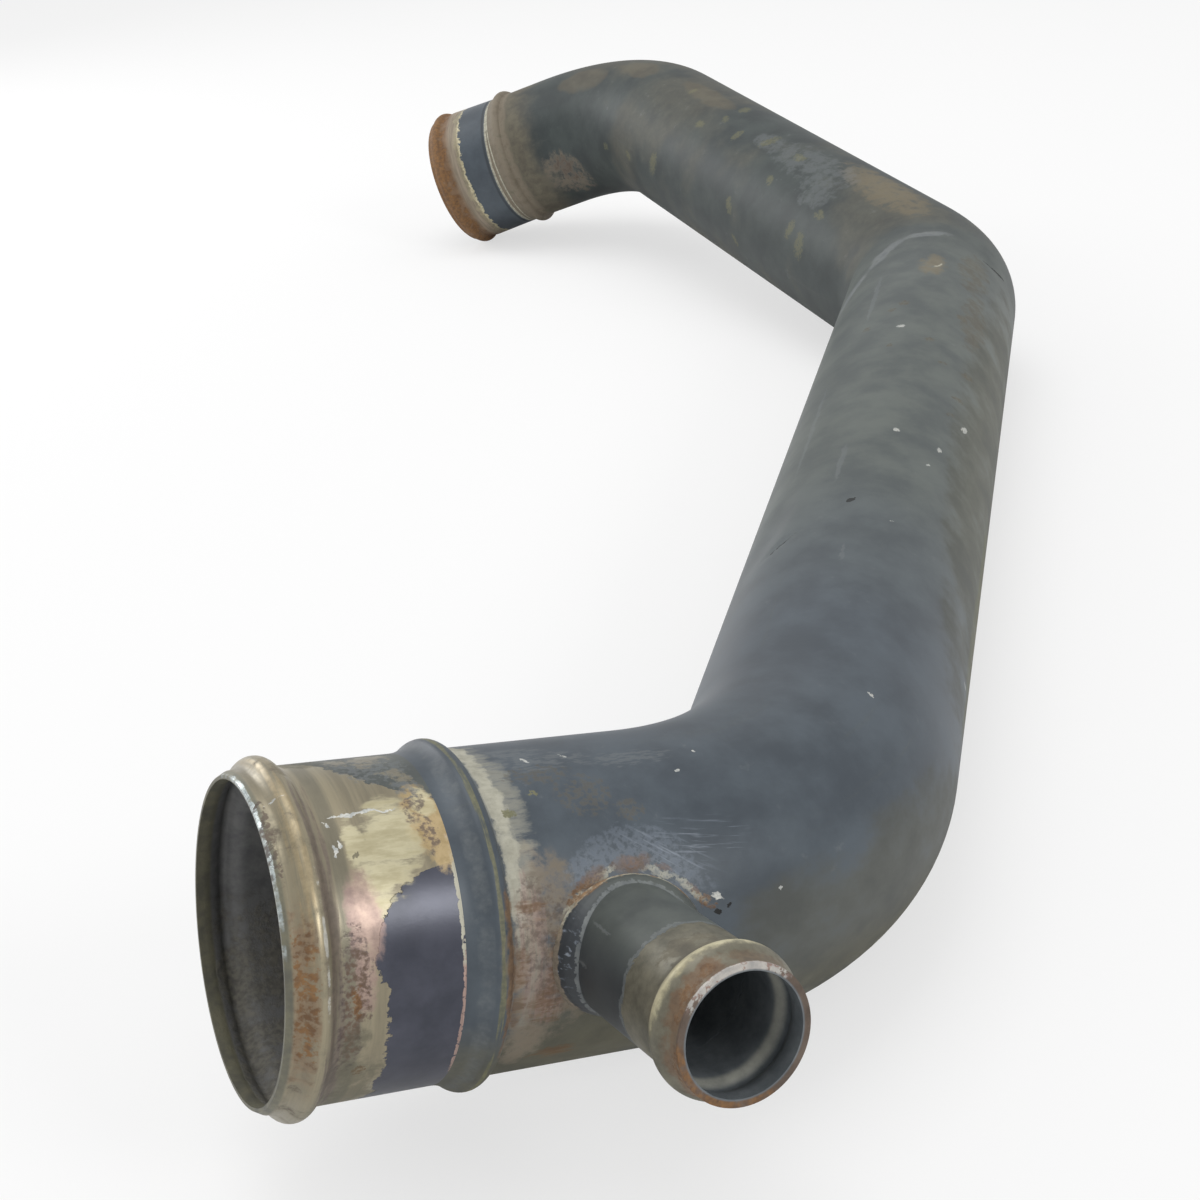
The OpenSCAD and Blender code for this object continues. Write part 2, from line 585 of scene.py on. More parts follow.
class Value:
    """A node's output; on numbers, Python's operators add Math nodes."""

    def __init__(self, nodes: Nodes, socket: bpy.types.NodeSocket | None) -> None:
        """Wraps an output socket."""
        self.nodes = nodes
        self.socket = socket

    def _math(self, operation: str, *values: Value | Number) -> Value:
        """Adds a Math node."""
        return self.nodes.add("ShaderNodeMath", {"operation": operation}, dict(enumerate(values)))

    def __add__(self, other: Value | Number) -> Value:
        """Adds."""
        return self._math("ADD", self, other)

    def __sub__(self, other: Value | Number) -> Value:
        """Subtracts."""
        return self._math("SUBTRACT", self, other)

    def __rsub__(self, other: Number) -> Value:
        """Subtracts from a number."""
        return self._math("SUBTRACT", other, self)

    def __mul__(self, other: Value | Number) -> Value:
        """Multiplies."""
        return self._math("MULTIPLY", self, other)

    def __truediv__(self, other: Value | Number) -> Value:
        """Divides."""
        return self._math("DIVIDE", self, other)

    def __or__(self, other: Value) -> Value:
        """Joins two masks by their larger value."""
        return self._math("MAXIMUM", self, other)

    def __and__(self, other: Value) -> Value:
        """Crosses two masks by their product."""
        return self._math("MULTIPLY", self, other)

    def __invert__(self) -> Value:
        """Turns a mask over."""
        return self._math("SUBTRACT", 1.0, self)

    def ramp(self, low: Number, high: Number) -> Value:
        """Fades smoothly from 0 at one value to 1 at another.

        Args:
            low: Value that gives 0.
            high: Value that gives 1, which may be the smaller one.

        Returns:
            The faded mask.
        """
        if low > high:
            return ~self.ramp(high, low)
        return self.nodes.add("ShaderNodeMapRange", {"interpolation_type": "SMOOTHSTEP"},
                              {"Value": self, "From Min": low, "From Max": high})

    def band(self, low: Number, high: Number, soft: Number) -> Value:
        """Returns a mask of the values between two limits."""
        return self.ramp(low - soft, low + soft) & self.ramp(high + soft, high - soft)

    def bitten(self, mottling: Value, bite: Number, soft: Number = 0.08) -> Value:
        """Breaks up a mask where it is neither full nor empty.

        Args:
            mottling: Mottling about 0.5.
            bite: How deep the mottling bites.
            soft: How soft the broken edge is.

        Returns:
            The broken mask.
        """
        middle = 0.5 + bite / 2
        broken = self._math("MULTIPLY_ADD", mottling, bite, self)
        return broken.ramp(middle - soft, middle + soft) & self.ramp(0.0, 0.2)

    def strewn(self, mottling: Value, bite: float, soft: float = 0.14) -> Value:
        """Dissolves a mask into flecks that thin out where it is faint.

        Args:
            mottling: Mottling about 0.5.
            bite: How sparse the flecks are: 1.6 covers all where the mask is full.
            soft: How soft their edges are.

        Returns:
            The mask of the flecks.
        """
        level = self._math("MULTIPLY_ADD", mottling, -SPREAD, self * (FULL / bite))
        middle = 0.5 * (1.0 - SPREAD)
        flecks = level.ramp(middle - FULL * soft, middle + FULL * soft)
        return flecks & self.ramp(0.0, 0.25)


Input = Value | Number | tuple[float, ...]
Triple = tuple[float, float, float]
ALONG = Vector((1.0, 0.0, 0.0))


@dataclass(frozen=True)
class Coat:
    """What one layer of a finish looks like: two colours mixed by mottling, and its gloss."""

    dark: str
    light: str
    roughness: float
    metallic: float = 0.0


@dataclass(frozen=True)
class Spot:
    """A mark on a tube: its place, half its length and width, its turn and its soft edge."""

    along: float
    around: float
    length: float
    width: float
    turn: float = 0.0
    soft: float = 0.85

    def ways(self, turn: float) -> tuple[Vector, Vector, Vector]:
        """Returns the ways out of the tube, across the spot and along it at a turn.

        Args:
            turn: Turn away from the tube's direction, in degrees.

        Returns:
            Three unit ways.
        """
        angle, slant = math.radians(self.around), math.radians(turn)
        outward = Vector((0.0, math.cos(angle), math.sin(angle)))
        across = Vector((0.0, -outward.z, outward.y))
        return outward, across, ALONG * math.cos(slant) + across * math.sin(slant)

    def drawn(self) -> Triple:
        """Returns the longer half size, the shorter one and the turn of the longer one."""
        if self.width > self.length:
            return self.width, self.length, self.turn + 90.0
        return self.length, self.width, self.turn


class Noise(Enum):
    """Kinds of mottling, by feature size in millimetres, octaves and roughness."""

    CLOUDS = (60.0, 3.0, 0.55)
    BLOTCHES = (16.0, 5.0, 0.62)
    FLECKS = (4.5, 5.0, 0.68)
    GRAIN = (1.1, 3.0, 0.6)


CLOUDS, BLOTCHES, FLECKS, GRAIN = Noise

# How a place is scaled before its mottling is read: round flecks, hoops round the tube,
# strokes along it, and flecks feathered out along it.
ROUND = (1.0, 1.0, 1.0)
HOOPED = (1.0, 0.07, 0.07)
DRAWN = (0.07, 1.0, 1.0)
FEATHERED = (0.4, 1.6, 1.6)

# How far flecks move the edges of spots and of bands, in millimetres.
TEAR = 4.0
FRAY = 0.2

# The mottling between which a coat goes from its dark colour to its light one, and the
# shift that keeps each coat's ramp its own.
CONTRAST = (0.3, 0.7)
OWN = 1e-6

# How far a surface is turned inward where the lining starts, and where it is full.
LINED = (0.62, 0.8)


@dataclass(frozen=True)
class Mark:
    """A worn place or a painted highlight or shade: the coat that shows, its spots, and how its
    mottling breaks it up.
    """

    coat: Coat
    spots: tuple[Spot, ...]
    noise: Noise = FLECKS
    bite: float = 1.6
    strength: float = 1.0
    soft: float = 0.14
    stretch: Triple = ROUND
    relief: float = 0.0


class Nodes:
    """A material and its nodes."""

    def __init__(self, name: str) -> None:
        """Makes a material with nothing but its output.

        Args:
            name: Name of the material.
        """
        self.material = bpy.data.materials.new(name)
        self.material.use_nodes = True
        self.tree = self.material.node_tree
        self.tree.nodes.clear()

    def add(self, kind: str, settings: dict[str, object] | None = None,
            inputs: dict[int | str, Input] | None = None,
            out: int | str = 0) -> Value:
        """Adds a node.

        Args:
            kind: The node's type.
            settings: Its settings by name, or a ramp's stops under the name stops.
            inputs: Values or links of its sockets by name or number.
            out: Its output, by name or number.

        Returns:
            The output, or an empty one where the node has none.
        """
        node = self.tree.nodes.new(kind)
        for name, value in (settings or {}).items():
            if name == "stops":
                elements = node.color_ramp.elements
                while len(elements) > 1:
                    elements.remove(elements[-1])
                for index, (place, colour) in enumerate(value):
                    element = elements[0] if index == 0 else elements.new(place)
                    element.position, element.color = place, colour
            else:
                setattr(node, name, value)
        for key, value in (inputs or {}).items():
            if isinstance(value, Value):
                self.tree.links.new(value.socket, node.inputs[key])
            else:
                node.inputs[key].default_value = value
        return Value(self, node.outputs[out] if node.outputs else None)


class Finish(Nodes):
    """A finish built up coat by coat, as a surface is painted, dirtied and worn."""

    def __init__(self, name: str, attribute: str, radius: float, coat: Coat) -> None:
        """Starts a finish from its first coat.

        Args:
            name: Name of the material.
            attribute: The attribute that holds the straightened place in millimetres.
            radius: Radius at which the place goes round.
            coat: The first coat.
        """
        super().__init__(name)
        self.radius = radius
        self.places: dict[tuple[Triple, float], Value] = {}
        self.mottles: dict[tuple[Noise, Triple, float], Value] = {}
        self.place = self.read(attribute, "Vector")
        self.blotches = self.mottle(BLOTCHES)
        self.flecks = self.mottle(FLECKS)
        self.grain = self.mottle(GRAIN)
        shifts = [self.mottle(FLECKS, ROUND, seed) for seed in (1.0, 2.0, 3.0)]
        joined = self.add("ShaderNodeCombineXYZ", None, dict(enumerate(shifts)))
        self.torn = self.move(joined, (TEAR,) * 3, self.place)
        self.frayed = self.move(joined, (FRAY,) * 3, self.place)
        self.along = self.part(self.frayed, 0)
        self.hoops = self.mottle(GRAIN, HOOPED)
        self.colour: Input = self.pair(coat, self.blotches)
        self.roughness: Input = (self.blotches - 0.5) * 0.16 + coat.roughness
        self.metallic: Input = coat.metallic
        self.relief: Value = self.grain * 0.010

    def read(self, name: str, out: str = "Fac") -> Value:
        """Reads an attribute of the mesh."""
        return self.add("ShaderNodeAttribute", {"attribute_name": name}, out=out)

    def move(self, vector: Value, scale_by: Triple, shift: Input) -> Value:
        """Returns a vector scaled and then moved."""
        return self.add("ShaderNodeVectorMath", {"operation": "MULTIPLY_ADD"},
                        {0: vector, 1: scale_by, 2: shift})

    def part(self, vector: Value, index: int) -> Value:
        """Returns one of a vector's three numbers."""
        return self.add("ShaderNodeSeparateXYZ", None, {0: vector}, index)

    def drawn_out(self, stretch: Triple, seed: float) -> Value:
        """Returns the place stretched and moved, made once for each stretch and seed.

        Args:
            stretch: How the place is scaled.
            seed: A number that moves the place.

        Returns:
            The place.
        """
        if (stretch, seed) == (ROUND, 0.0):
            return self.place
        key = (stretch, seed)
        if key not in self.places:
            shift = (seed * 17.3, seed * -9.1, seed * 5.7)
            self.places[key] = self.move(self.place, stretch, shift)
        return self.places[key]

    def mottle(self, noise: Noise, stretch: Triple = ROUND, seed: float = 0.0) -> Value:
        """Returns mottling about 0.5, made once for each kind, stretch and seed.

        Args:
            noise: The kind of mottling.
            stretch: Scale of the pattern's place, below 1 where it is drawn out.
            seed: A number that moves the pattern.

        Returns:
            The mottling's value.
        """
        key = (noise, stretch, seed)
        if key not in self.mottles:
            size, detail, rough = noise.value
            self.mottles[key] = self.add(
                "ShaderNodeTexNoise", None,
                {"Vector": self.drawn_out(stretch, seed), "Scale": 1.0 / size,
                 "Detail": detail, "Roughness": rough})
        return self.mottles[key]

    def sector(self, centre: float, half: float, soft: float) -> Value:
        """Returns a mask of the angles around the tube within half degrees of a centre.

        Args:
            centre: Angle of the middle, in degrees.
            half: Half the mask's width, in degrees.
            soft: How soft its edges are, in degrees.

        Returns:
            The mask.
        """
        angle = math.radians(centre)
        share = self.dot(self.frayed, Vector((0.0, math.cos(angle), math.sin(angle)))
                         / self.radius)
        return share.ramp(math.cos(math.radians(min(half + soft, 180.0))),
                          math.cos(math.radians(max(half - soft, 0.0))))

    def spot(self, spot: Spot) -> Value:
        """Returns the mask of one spot, which is 1 at its middle and 0 outside it.

        Args:
            spot: The spot.

        Returns:
            The mask.
        """
        length, width, turn = spot.drawn()
        outward, _, ahead = spot.ways(turn)
        middle = ALONG * spot.along + outward * self.radius + Vector((TEAR, TEAR, TEAR)) / 2
        away = self.move(self.torn, (1.0 / width,) * 3, tuple(middle / -width))
        run = self.dot(away, ahead * math.sqrt(1.0 - (width / length) ** 2))
        far = self.dot(away, away) - run * run
        limits = (1.0, (1.0 - spot.soft) ** 2)
        if length < self.radius / 4:
            return far.ramp(*limits)
        # A large spot follows the tube's curve, and stays off its far side.
        sunk = self.dot(away, outward)
        near_side = sunk.ramp(-1.2 * self.radius / width, -0.9 * self.radius / width)
        return (far - sunk * sunk).ramp(*limits) & near_side

    def dot(self, vector: Value, way: Value | Vector) -> Value:
        """Returns how far a vector reaches along a way."""
        return self.add("ShaderNodeVectorMath", {"operation": "DOT_PRODUCT"},
                        {0: vector, 1: way if isinstance(way, Value) else tuple(way)}, "Value")

    def spots(self, spots: Sequence[Spot]) -> Value:
        """Returns the joined mask of several spots.

        Args:
            spots: The spots.

        Returns:
            The mask.
        """
        mask = self.spot(spots[0])
        for spot in spots[1:]:
            mask = mask | self.spot(spot)
        return mask

    def scratches(self, spot: Spot, gap: float) -> Value:
        """Returns fine scratches that run along a spot, within it.

        Args:
            spot: Where they are and which way they run.
            gap: How far apart they lie, in millimetres.

        Returns:
            The mask of the scratches.
        """
        slant = math.radians(spot.turn)
        _, across, ahead = spot.ways(spot.turn)
        aside = across * math.cos(slant) - ALONG * math.sin(slant)
        place = self.add("ShaderNodeCombineXYZ", None,
                         {0: self.dot(self.place, ahead / spot.length),
                          1: self.dot(self.place, aside / gap)})
        lines = self.add("ShaderNodeTexNoise", None,
                         {"Vector": place, "Scale": 1.0, "Detail": 3.0, "Roughness": 0.65})
        return self.spot(spot) & lines.ramp(0.52, 0.68)

    def mix(self, mask: Input, under: Input, over: Input, colour: bool) -> Value:
        """Mixes two numbers or two colours by a mask.

        Args:
            mask: 0 keeps what is under, 1 gives what is over.
            under: What is there.
            over: What is laid on.
            colour: Whether they are colours.

        Returns:
            The mixture.
        """
        if colour:
            return self.add("ShaderNodeMix", {"data_type": "RGBA"},
                            {0: mask, 6: under, 7: over}, 2)
        return self.add("ShaderNodeMix", {"data_type": "FLOAT"}, {0: mask, 2: under, 3: over}, 0)

    def pair(self, coat: Coat, mottling: Value) -> Value:
        """Mixes a coat's two colours by mottling, in nodes that no other coat shares."""
        dark, light = (limit + OWN * len(self.tree.nodes) for limit in CONTRAST)
        return self.mix(mottling.ramp(dark, light), tone(coat.dark), tone(coat.light), True)

    def lay(self, coat: Coat, mask: Value, mottling: Value | None = None,
            relief: float = 0.0) -> None:
        """Lays a coat over what is there.

        Args:
            coat: The coat.
            mask: Where it lies.
            mottling: What mixes its two colours, if not the flecks.
            relief: How thick it is, in millimetres, negative where it is worn off.
        """
        self.colour = self.mix(mask, self.colour, self.pair(coat, mottling or self.flecks), True)
        self.roughness = self.mix(mask, self.roughness, coat.roughness, False)
        self.metallic = self.mix(mask, self.metallic, coat.metallic, False)
        if relief:
            self.relief = self.relief + mask * relief

    def wave(self, clouds: Value) -> None:
        """Gives the paint its faint waviness."""
        self.relief = self.relief + (clouds + self.blotches) * 0.05

    def mark(self, mark: Mark) -> None:
        """Lays one worn place, or one painted highlight or shade.

        Args:
            mark: The worn place, or the painted highlight or shade.
        """
        mottling = self.mottle(mark.noise, mark.stretch)
        mask = self.spots(mark.spots).strewn(mottling, mark.bite, mark.soft)
        if mark.strength < 1.0:
            mask = mask * mark.strength
        self.lay(mark.coat, mask, mottling, mark.relief)

    def close(self) -> bpy.types.Material:
        """Links the finish to a shader.

        Returns:
            The finished material.
        """
        bump = self.add("ShaderNodeBump", None,
                        {"Height": self.relief, "Distance": MM, "Strength": 1.0})
        shader = self.add("ShaderNodeBsdfPrincipled", None,
                          {"Base Color": self.colour, "Roughness": self.roughness,
                           "Metallic": self.metallic, "Normal": bump})
        self.add("ShaderNodeOutputMaterial", None, {"Surface": shader})
        return self.material


# The finishes


SLATE = Coat("384048", "49525a", 0.44, 0.10)
SLATE_GREEN = Coat("434a49", "585e59", 0.50, 0.06)
BACK_PAINT = Coat("2a3132", "394140", 0.56, 0.03)
NIGHT_PAINT = Coat("3b403f", "525753", 0.46, 0.05)
# Painted shade: the darker coat laid on the sides of the spigot and weld that face away from the
# light.
PAINTED_SHADE_COAT = Coat("262a2e", "353a3f", 0.46, 0.05)
NAVY = Coat("31343f", "474955", 0.30, 0.25)
OLIVE_DUST = Coat("49483b", "625f4d", 0.72)
HAZE = Coat("544e42", "696352", 0.72)
PALE_RUB = Coat("62676a", "7f8382", 0.55, 0.15)
BLUE_RUB = Coat("68717d", "939ba6", 0.50, 0.20)
OLIVE_SPOT = Coat("5f5f46", "7d7a58", 0.68)
KHAKI = Coat("7b7462", "988f78", 0.32, 0.50)
DULL_ZINC = Coat("59574c", "787465", 0.42, 0.40)
BRASSY = Coat("aea583", "d8d1b0", 0.42, 0.30)
GOLDEN = Coat("a08b62", "c5ae84", 0.38, 0.45)
PINK = Coat("86706a", "b99e92", 0.36, 0.40)
CREAM = Coat("8d8b7d", "bdbaa9", 0.64, 0.05)
OLIVE_TAN = Coat("6d6450", "857960", 0.72)
TAN = Coat("756b5b", "928676", 0.70)
RUST = Coat("5f442c", "8c6436", 0.82)
RUST_FILM = Coat("604b39", "7d644b", 0.62, 0.15)
BROWN = Coat("453932", "63534a", 0.76)
VIOLET_BROWN = Coat("4a3f40", "665855", 0.55, 0.20)
CHIP = Coat("a3a6a4", "d2d1c9", 0.55, 0.20)
STEEL = Coat("8d9696", "cdd6d6", 0.24, 0.80)
BLACK = Coat("101010", "1c1c1c", 0.80)
# The main bore's lining is its own colour lightened: painted light for the light that reaches
# inside.
LINING_AND_PAINTED_LIGHT = Coat("5a5b5c", "737372", 0.62, 0.10)
LIP = Coat("5b5a50", "75725f", 0.50, 0.20)
SILT = Coat("5b584e", "858071", 0.88)
# Painted light: the spigot's lining and the groove under its bead are lightened for the light that
# reaches inside.
SPIGOT_LINING_AND_PAINTED_LIGHT = Coat("565c60", "6b7073", 0.60, 0.05)
GROOVE_PAINTED_LIGHT = Coat("8b8c85", "a4a49a", 0.60)


@dataclass(frozen=True)
class TubeFinish:
    """The worn coating of the main tube, on its painted body."""

    radius: float = 31.75
    length: float = 884.1
    silt: float = 0.0

    def dust(self, g: Finish) -> None:
        """Lays the greener paint of the far legs, and the dust on what looks down.

        Args:
            g: The finish that is built up.
        """
        clouds = g.mottle(CLOUDS)
        greener = g.along.ramp(150.0, 290.0) * 0.8 + clouds * 0.4 - 0.15
        g.lay(SLATE_GREEN, greener.ramp(0.0, 1.0), g.blotches)
        under = g.read("sky").ramp(0.15, -0.75)
        g.lay(OLIVE_DUST, under.bitten(g.blotches, 0.8, 0.35) * 0.75)
        g.lay(BACK_PAINT, g.along.ramp(450.0, 530.0) * 0.95, g.blotches)
        back = g.along.band(500.0, 905.0, 22.0) & clouds.ramp(0.35, 0.75)
        g.lay(HAZE, back.bitten(g.blotches, 1.0, 0.3) * 0.35)
        specks = g.flecks.ramp(0.60, 0.74) & g.blotches.ramp(0.40, 0.62)
        g.lay(PALE_RUB, specks * 0.30, g.grain)
        g.lay(NIGHT_PAINT, g.mottle(FLECKS, DRAWN).ramp(0.60, 0.76) * 0.35, g.grain)
        g.wave(clouds)

    def inside(self, g: Finish) -> None:
        """Gives the bore its lining colour, lightened as painted light for the light that reaches
        inside, with silt on what lies low and a paler lip at the mouths.

        Args:
            g: The finish that is built up.
        """
        lining = g.read("lining").ramp(*LINED)
        # The lining is lighter than the paint: partly the bore's colour, partly painted light.
        g.lay(LINING_AND_PAINTED_LIGHT, lining)
        lip = g.along.ramp(3.4, 2.6) | (self.length - g.along).ramp(3.4, 2.6)
        g.lay(LIP, lining & lip)
        low = lining & g.read("sky").ramp(-0.1, -0.7) & ~lip
        g.lay(SILT, low.strewn(g.flecks, 2.2, 0.3) * 0.6, g.grain, self.silt)

    def shared_marks(self) -> tuple[Mark, ...]:
        """Lists the broad marks that run from one stretch of the tube into the next."""
        return (
            Mark(OLIVE_DUST, (Spot(320, 152, 190, 22), Spot(120, 172, 50, 20)),
                 BLOTCHES, 1.3, 0.5, 0.45),
            Mark(HAZE, (Spot(793, 46, 18, 10), Spot(761, 63, 18, 9), Spot(700, 70, 30, 7)),
                 BLOTCHES, 1.2, 0.6, 0.4),
        )

    def scattered(self, rows: Sequence[Triple], turn: float, cycle: int) -> tuple[Spot, ...]:
        """Makes small oval spots, each turned further than the last within a cycle."""
        return tuple(Spot(along, around, size * 1.3, size * 0.8, turn * (index % cycle))
                     for index, (along, around, size) in enumerate(rows))

    def body_marks(self) -> tuple[Mark, ...]:
        """Lists the marks on the painted body, in the order in which they are laid.

        Returns:
            The marks.
        """
        # Places along and around, and sizes.
        olive = ((678.5, 42.4, 3.5), (667.9, 58, 3), (669.8, 77.2, 4), (649.4, 50.4, 3.5),
                 (628.6, 60.7, 5), (601.8, 60.8, 4), (603.5, 33, 3), (624.5, 0.1, 4),
                 (562.7, 3.7, 5.5), (701.7, -5.8, 5.5), (760.5, -16.6, 3), (729.7, -12.9, 3),
                 (618.9, -25.3, 3), (710.8, 66.2, 3), (572.5, 9.5, 4), (558.6, 30.1, 3.5))
        khaki = ((401.1, 73.0, 2.6), (394.8, 66.9, 2), (367.7, 93.9, 2.2), (351.0, 102.8, 1.6),
                 (400.8, 109.2, 3), (314.4, 113.3, 2), (353.3, 119.5, 3), (329.7, 116.4, 2.4),
                 (358.2, 71.9, 1.6), (379.8, 54.3, 2.4))
        chips = ((284.6, 110.9, 1.7, 1.0), (311.8, 123.6, 2.8, 1.3), (286.7, 87.0, 1.5, 0.8),
                 (270.4, 106.7, 0.9, 0.6), (226.3, 95.4, 0.8, 0.5), (376.9, 75.1, 1.8, 1.4),
                 (186.2, 156.4, 1.6, 0.5), (208.3, 164.6, 1.5, 0.5), (139.7, 104.8, 0.7, 0.5))
        return (
            Mark(OLIVE_SPOT, (Spot(225, 164, 75, 6),), FLECKS, 2.2, 0.5, 0.3, DRAWN),
            Mark(PALE_RUB, (Spot(447, 25, 20, 4.2, 30.6), Spot(471.5, 48, 17, 4.6, 24.6),
                            Spot(484.4, 74, 12, 4.0, 79)), FLECKS, 1.4, 0.75, 0.4),
            Mark(PALE_RUB, (Spot(413, 52, 32, 1.1), Spot(300, 38, 40, 1.0),
                            Spot(262, 64, 16, 0.9), Spot(203, 77, 6, 0.6)),
                 FLECKS, 1.6, 0.4, 0.3, DRAWN),
            Mark(OLIVE_TAN, (Spot(546, 77, 44, 12, 4), Spot(446, 84, 15, 6)),
                 FLECKS, 1.8, 0.7, 0.45),
            Mark(PALE_RUB, (Spot(592, 62, 40, 12), Spot(572, 44, 16, 10), Spot(628, 60, 14, 6)),
                 FLECKS, 2.5, 0.45, 0.35),
            Mark(HAZE, (Spot(452, 112, 26, 8), Spot(404, 118, 34, 7)), FLECKS, 2.2, 0.6, 0.4),
            Mark(CREAM, (Spot(445.5, 87, 4.5, 0.7, 20),), GRAIN, 1.2),
            Mark(OLIVE_SPOT, self.scattered(olive, 25.0, 5), GRAIN, 2.0, 0.6, 0.35),
            Mark(HAZE, self.scattered(khaki, 20.0, 4), GRAIN, 2.0, 0.7, 0.35),
            # Dark marks; the two thin ones, on the creases of the dents at 217 and 477 mm, are
            # painted shade.
            Mark(BLACK, (Spot(235.2, 74.6, 2.2, 1.1, 30), Spot(216.5, 44, 6.5, 0.45, 48),
                         Spot(477, 127, 8, 0.9, 76)), GRAIN, 0.8, 0.85),
            Mark(CHIP, tuple(Spot(*row, 15.0 * (n % 7), 0.5) for n, row in enumerate(chips)),
                 GRAIN, 1.2, 0.7),
        )

    def wear(self, g: Finish) -> None:
        """Lays what is worn on this stretch of the tube, and the painted shade in the creases of
        its dents.
        """
        for mark in self.body_marks():
            g.mark(mark)

    def build(self) -> bpy.types.Material:
        """Makes the material.

        Returns:
            The material of this stretch.
        """
        g = Finish(type(self).__name__, "pipe", self.radius, SLATE)
        self.dust(g)
        for mark in self.shared_marks():
            g.mark(mark)
        self.wear(g)
        self.inside(g)
        return g.close()


@dataclass(frozen=True)
class HoseFinish(TubeFinish):
    """The front hose end: bare plating up to a ragged edge, and a bead at the mouth."""

    silt: float = 0.12
    bare_edge: tuple[tuple[float, float], ...] = (
        (0.0, 15.0), (45.0, 10.5), (60.0, 12.0), (70.0, 16.5), (79.0, 19.5), (86.0, 23.0),
        (92.0, 27.0), (99.0, 35.5), (122.0, 35.5), (124.5, 27.0), (130.0, 21.5), (134.0, 20.4),
        (140.0, 17.4), (148.0, 16.6), (158.0, 17.6), (168.0, 18.4), (205.0, 19.4),
        (260.0, 17.0), (310.0, 20.0), (360.0, 15.0),
    )
    widest: float = 64.0

    def turn(self, g: Finish) -> Value:
        """Returns the angle around the tube as a share of a turn."""
        angle = g.add("ShaderNodeMath", {"operation": "ARCTAN2"},
                      {0: g.part(g.frayed, 2), 1: g.part(g.frayed, 1)})
        return g.add("ShaderNodeMath", {"operation": "FRACT"}, {0: angle / math.tau})

    def bare_marks(self) -> tuple[Mark, ...]:
        """Lists the marks on the bare plated front end."""
        return (
            Mark(GOLDEN, (Spot(30.0, 106, 5.0, 10.5), Spot(31.2, 119, 2.6, 5.0)),
                 FLECKS, 1.2, 0.9, 0.35),
            Mark(BRASSY, (Spot(22.4, 112, 6.6, 12.0, 8), Spot(18.5, 122, 5.6, 8.0),
                          Spot(30.5, 99, 2.8, 5.2), Spot(15.5, 112, 2.4, 8.0)),
                 FLECKS, 1.4, 0.8, 0.3, FEATHERED),
            Mark(VIOLET_BROWN, (Spot(28.8, 100, 2.4, 5.0, 20), Spot(29.8, 112, 2.0, 5.0)),
                 GRAIN, 2.4, 0.75, 0.3),
            # The light pink patch near 15 mm is partly the plating's tint and partly a painted
            # highlight.
            Mark(PINK, (Spot(15.0, 138, 3.8, 11.0), Spot(14.4, 154, 2.6, 9.0)),
                 FLECKS, 1.2, 0.8, 0.45),
            Mark(VIOLET_BROWN, (Spot(12.4, 158, 3.8, 12.0), Spot(11.4, 176, 3.4, 9.0)),
                 GRAIN, 2.2, 0.75, 0.35, ROUND, -0.04),
            Mark(RUST_FILM, (Spot(12.6, 160, 3.2, 10.0), Spot(11.6, 176, 2.6, 7.0)),
                 GRAIN, 2.8, 0.7, 0.3),
            Mark(RUST, (Spot(14.3, -168, 1.7, 1.4), Spot(12.6, 163, 1.5, 4.0)),
                 GRAIN, 2.0, 0.9, 0.25),
            Mark(OLIVE_DUST, (Spot(13, 212, 8, 24), Spot(12, 60, 7, 6)), FLECKS, 1.4, 0.6, 0.4),
            Mark(PALE_RUB, (Spot(25, 74, 8, 9), Spot(29, 90, 3, 5)),
                 GRAIN, 2.4, 0.6, 0.25, ROUND, -0.03),
            Mark(KHAKI, (Spot(24, 66, 8, 6), Spot(28, 84, 4, 4)),
                 FLECKS, 2.6, 0.7, 0.2, ROUND, -0.04),
            Mark(CHIP, (Spot(18.5, 101, 8.0, 0.35, 0, 0.5), Spot(11.2, 103.0, 1.6, 0.4, 60, 0.4),
                        Spot(11.8, 114.0, 1.3, 0.5, 90, 0.4),
                        Spot(12.9, 112.5, 1.0, 0.4, 90, 0.4), Spot(4.6, 93.2, 3.4, 0.3, 0, 0.5)),
                 GRAIN, 0.9),
            Mark(BLACK, (Spot(15.2, 117, 1.6, 0.7, 110), Spot(20.6, 127.5, 0.8, 0.5)),
                 GRAIN, 1.0, 0.6),
        )

    def bare_end(self, g: Finish) -> None:
        """Strips the front end to its plating, up to the ragged edge of the paint.

        Args:
            g: The finish that is built up.
        """
        edge = g.add("ShaderNodeValToRGB", {"stops": [
            (angle / 360.0, (0.0, 0.0, 0.0, reach / self.widest)) for angle, reach in
            self.bare_edge]},
            {0: self.turn(g)}, "Alpha")
        torn = g.along + (g.flecks - 0.5) * 6.5 + (g.grain - 0.5) * 1.8
        bare = (edge * self.widest - torn).ramp(-0.12, 0.12)
        top = g.sector(62.0, 34.0, 6.0) & g.along.ramp(5.0, 12.0)
        navy = g.along.ramp(9.7, 10.3) & ~top
        g.lay(NAVY, navy, g.blotches)
        g.lay(NIGHT_PAINT, g.along.ramp(8.7, 9.3) & top, g.blotches)
        g.lay(KHAKI, bare, g.mottle(FLECKS, HOOPED), -0.10)
        g.lay(DULL_ZINC, bare & g.hoops.ramp(0.5, 0.7) * 0.35)
        seal = g.along.band(10.6, 13.6, 0.5) & bare
        g.lay(DULL_ZINC, seal * 0.6, g.blotches)
        line = g.along.ramp(32.35, 32.7) & g.sector(158.0, 44.0, 6.0)
        g.lay(PINK, line.strewn(g.grain, 1.9), g.hoops)
        glint = g.along.ramp(32.2, 32.6) & g.sector(135.0, 16.0, 8.0)
        g.lay(CREAM, glint.strewn(g.grain, 1.5), g.hoops)
        for mark in self.bare_marks():
            g.mark(mark)

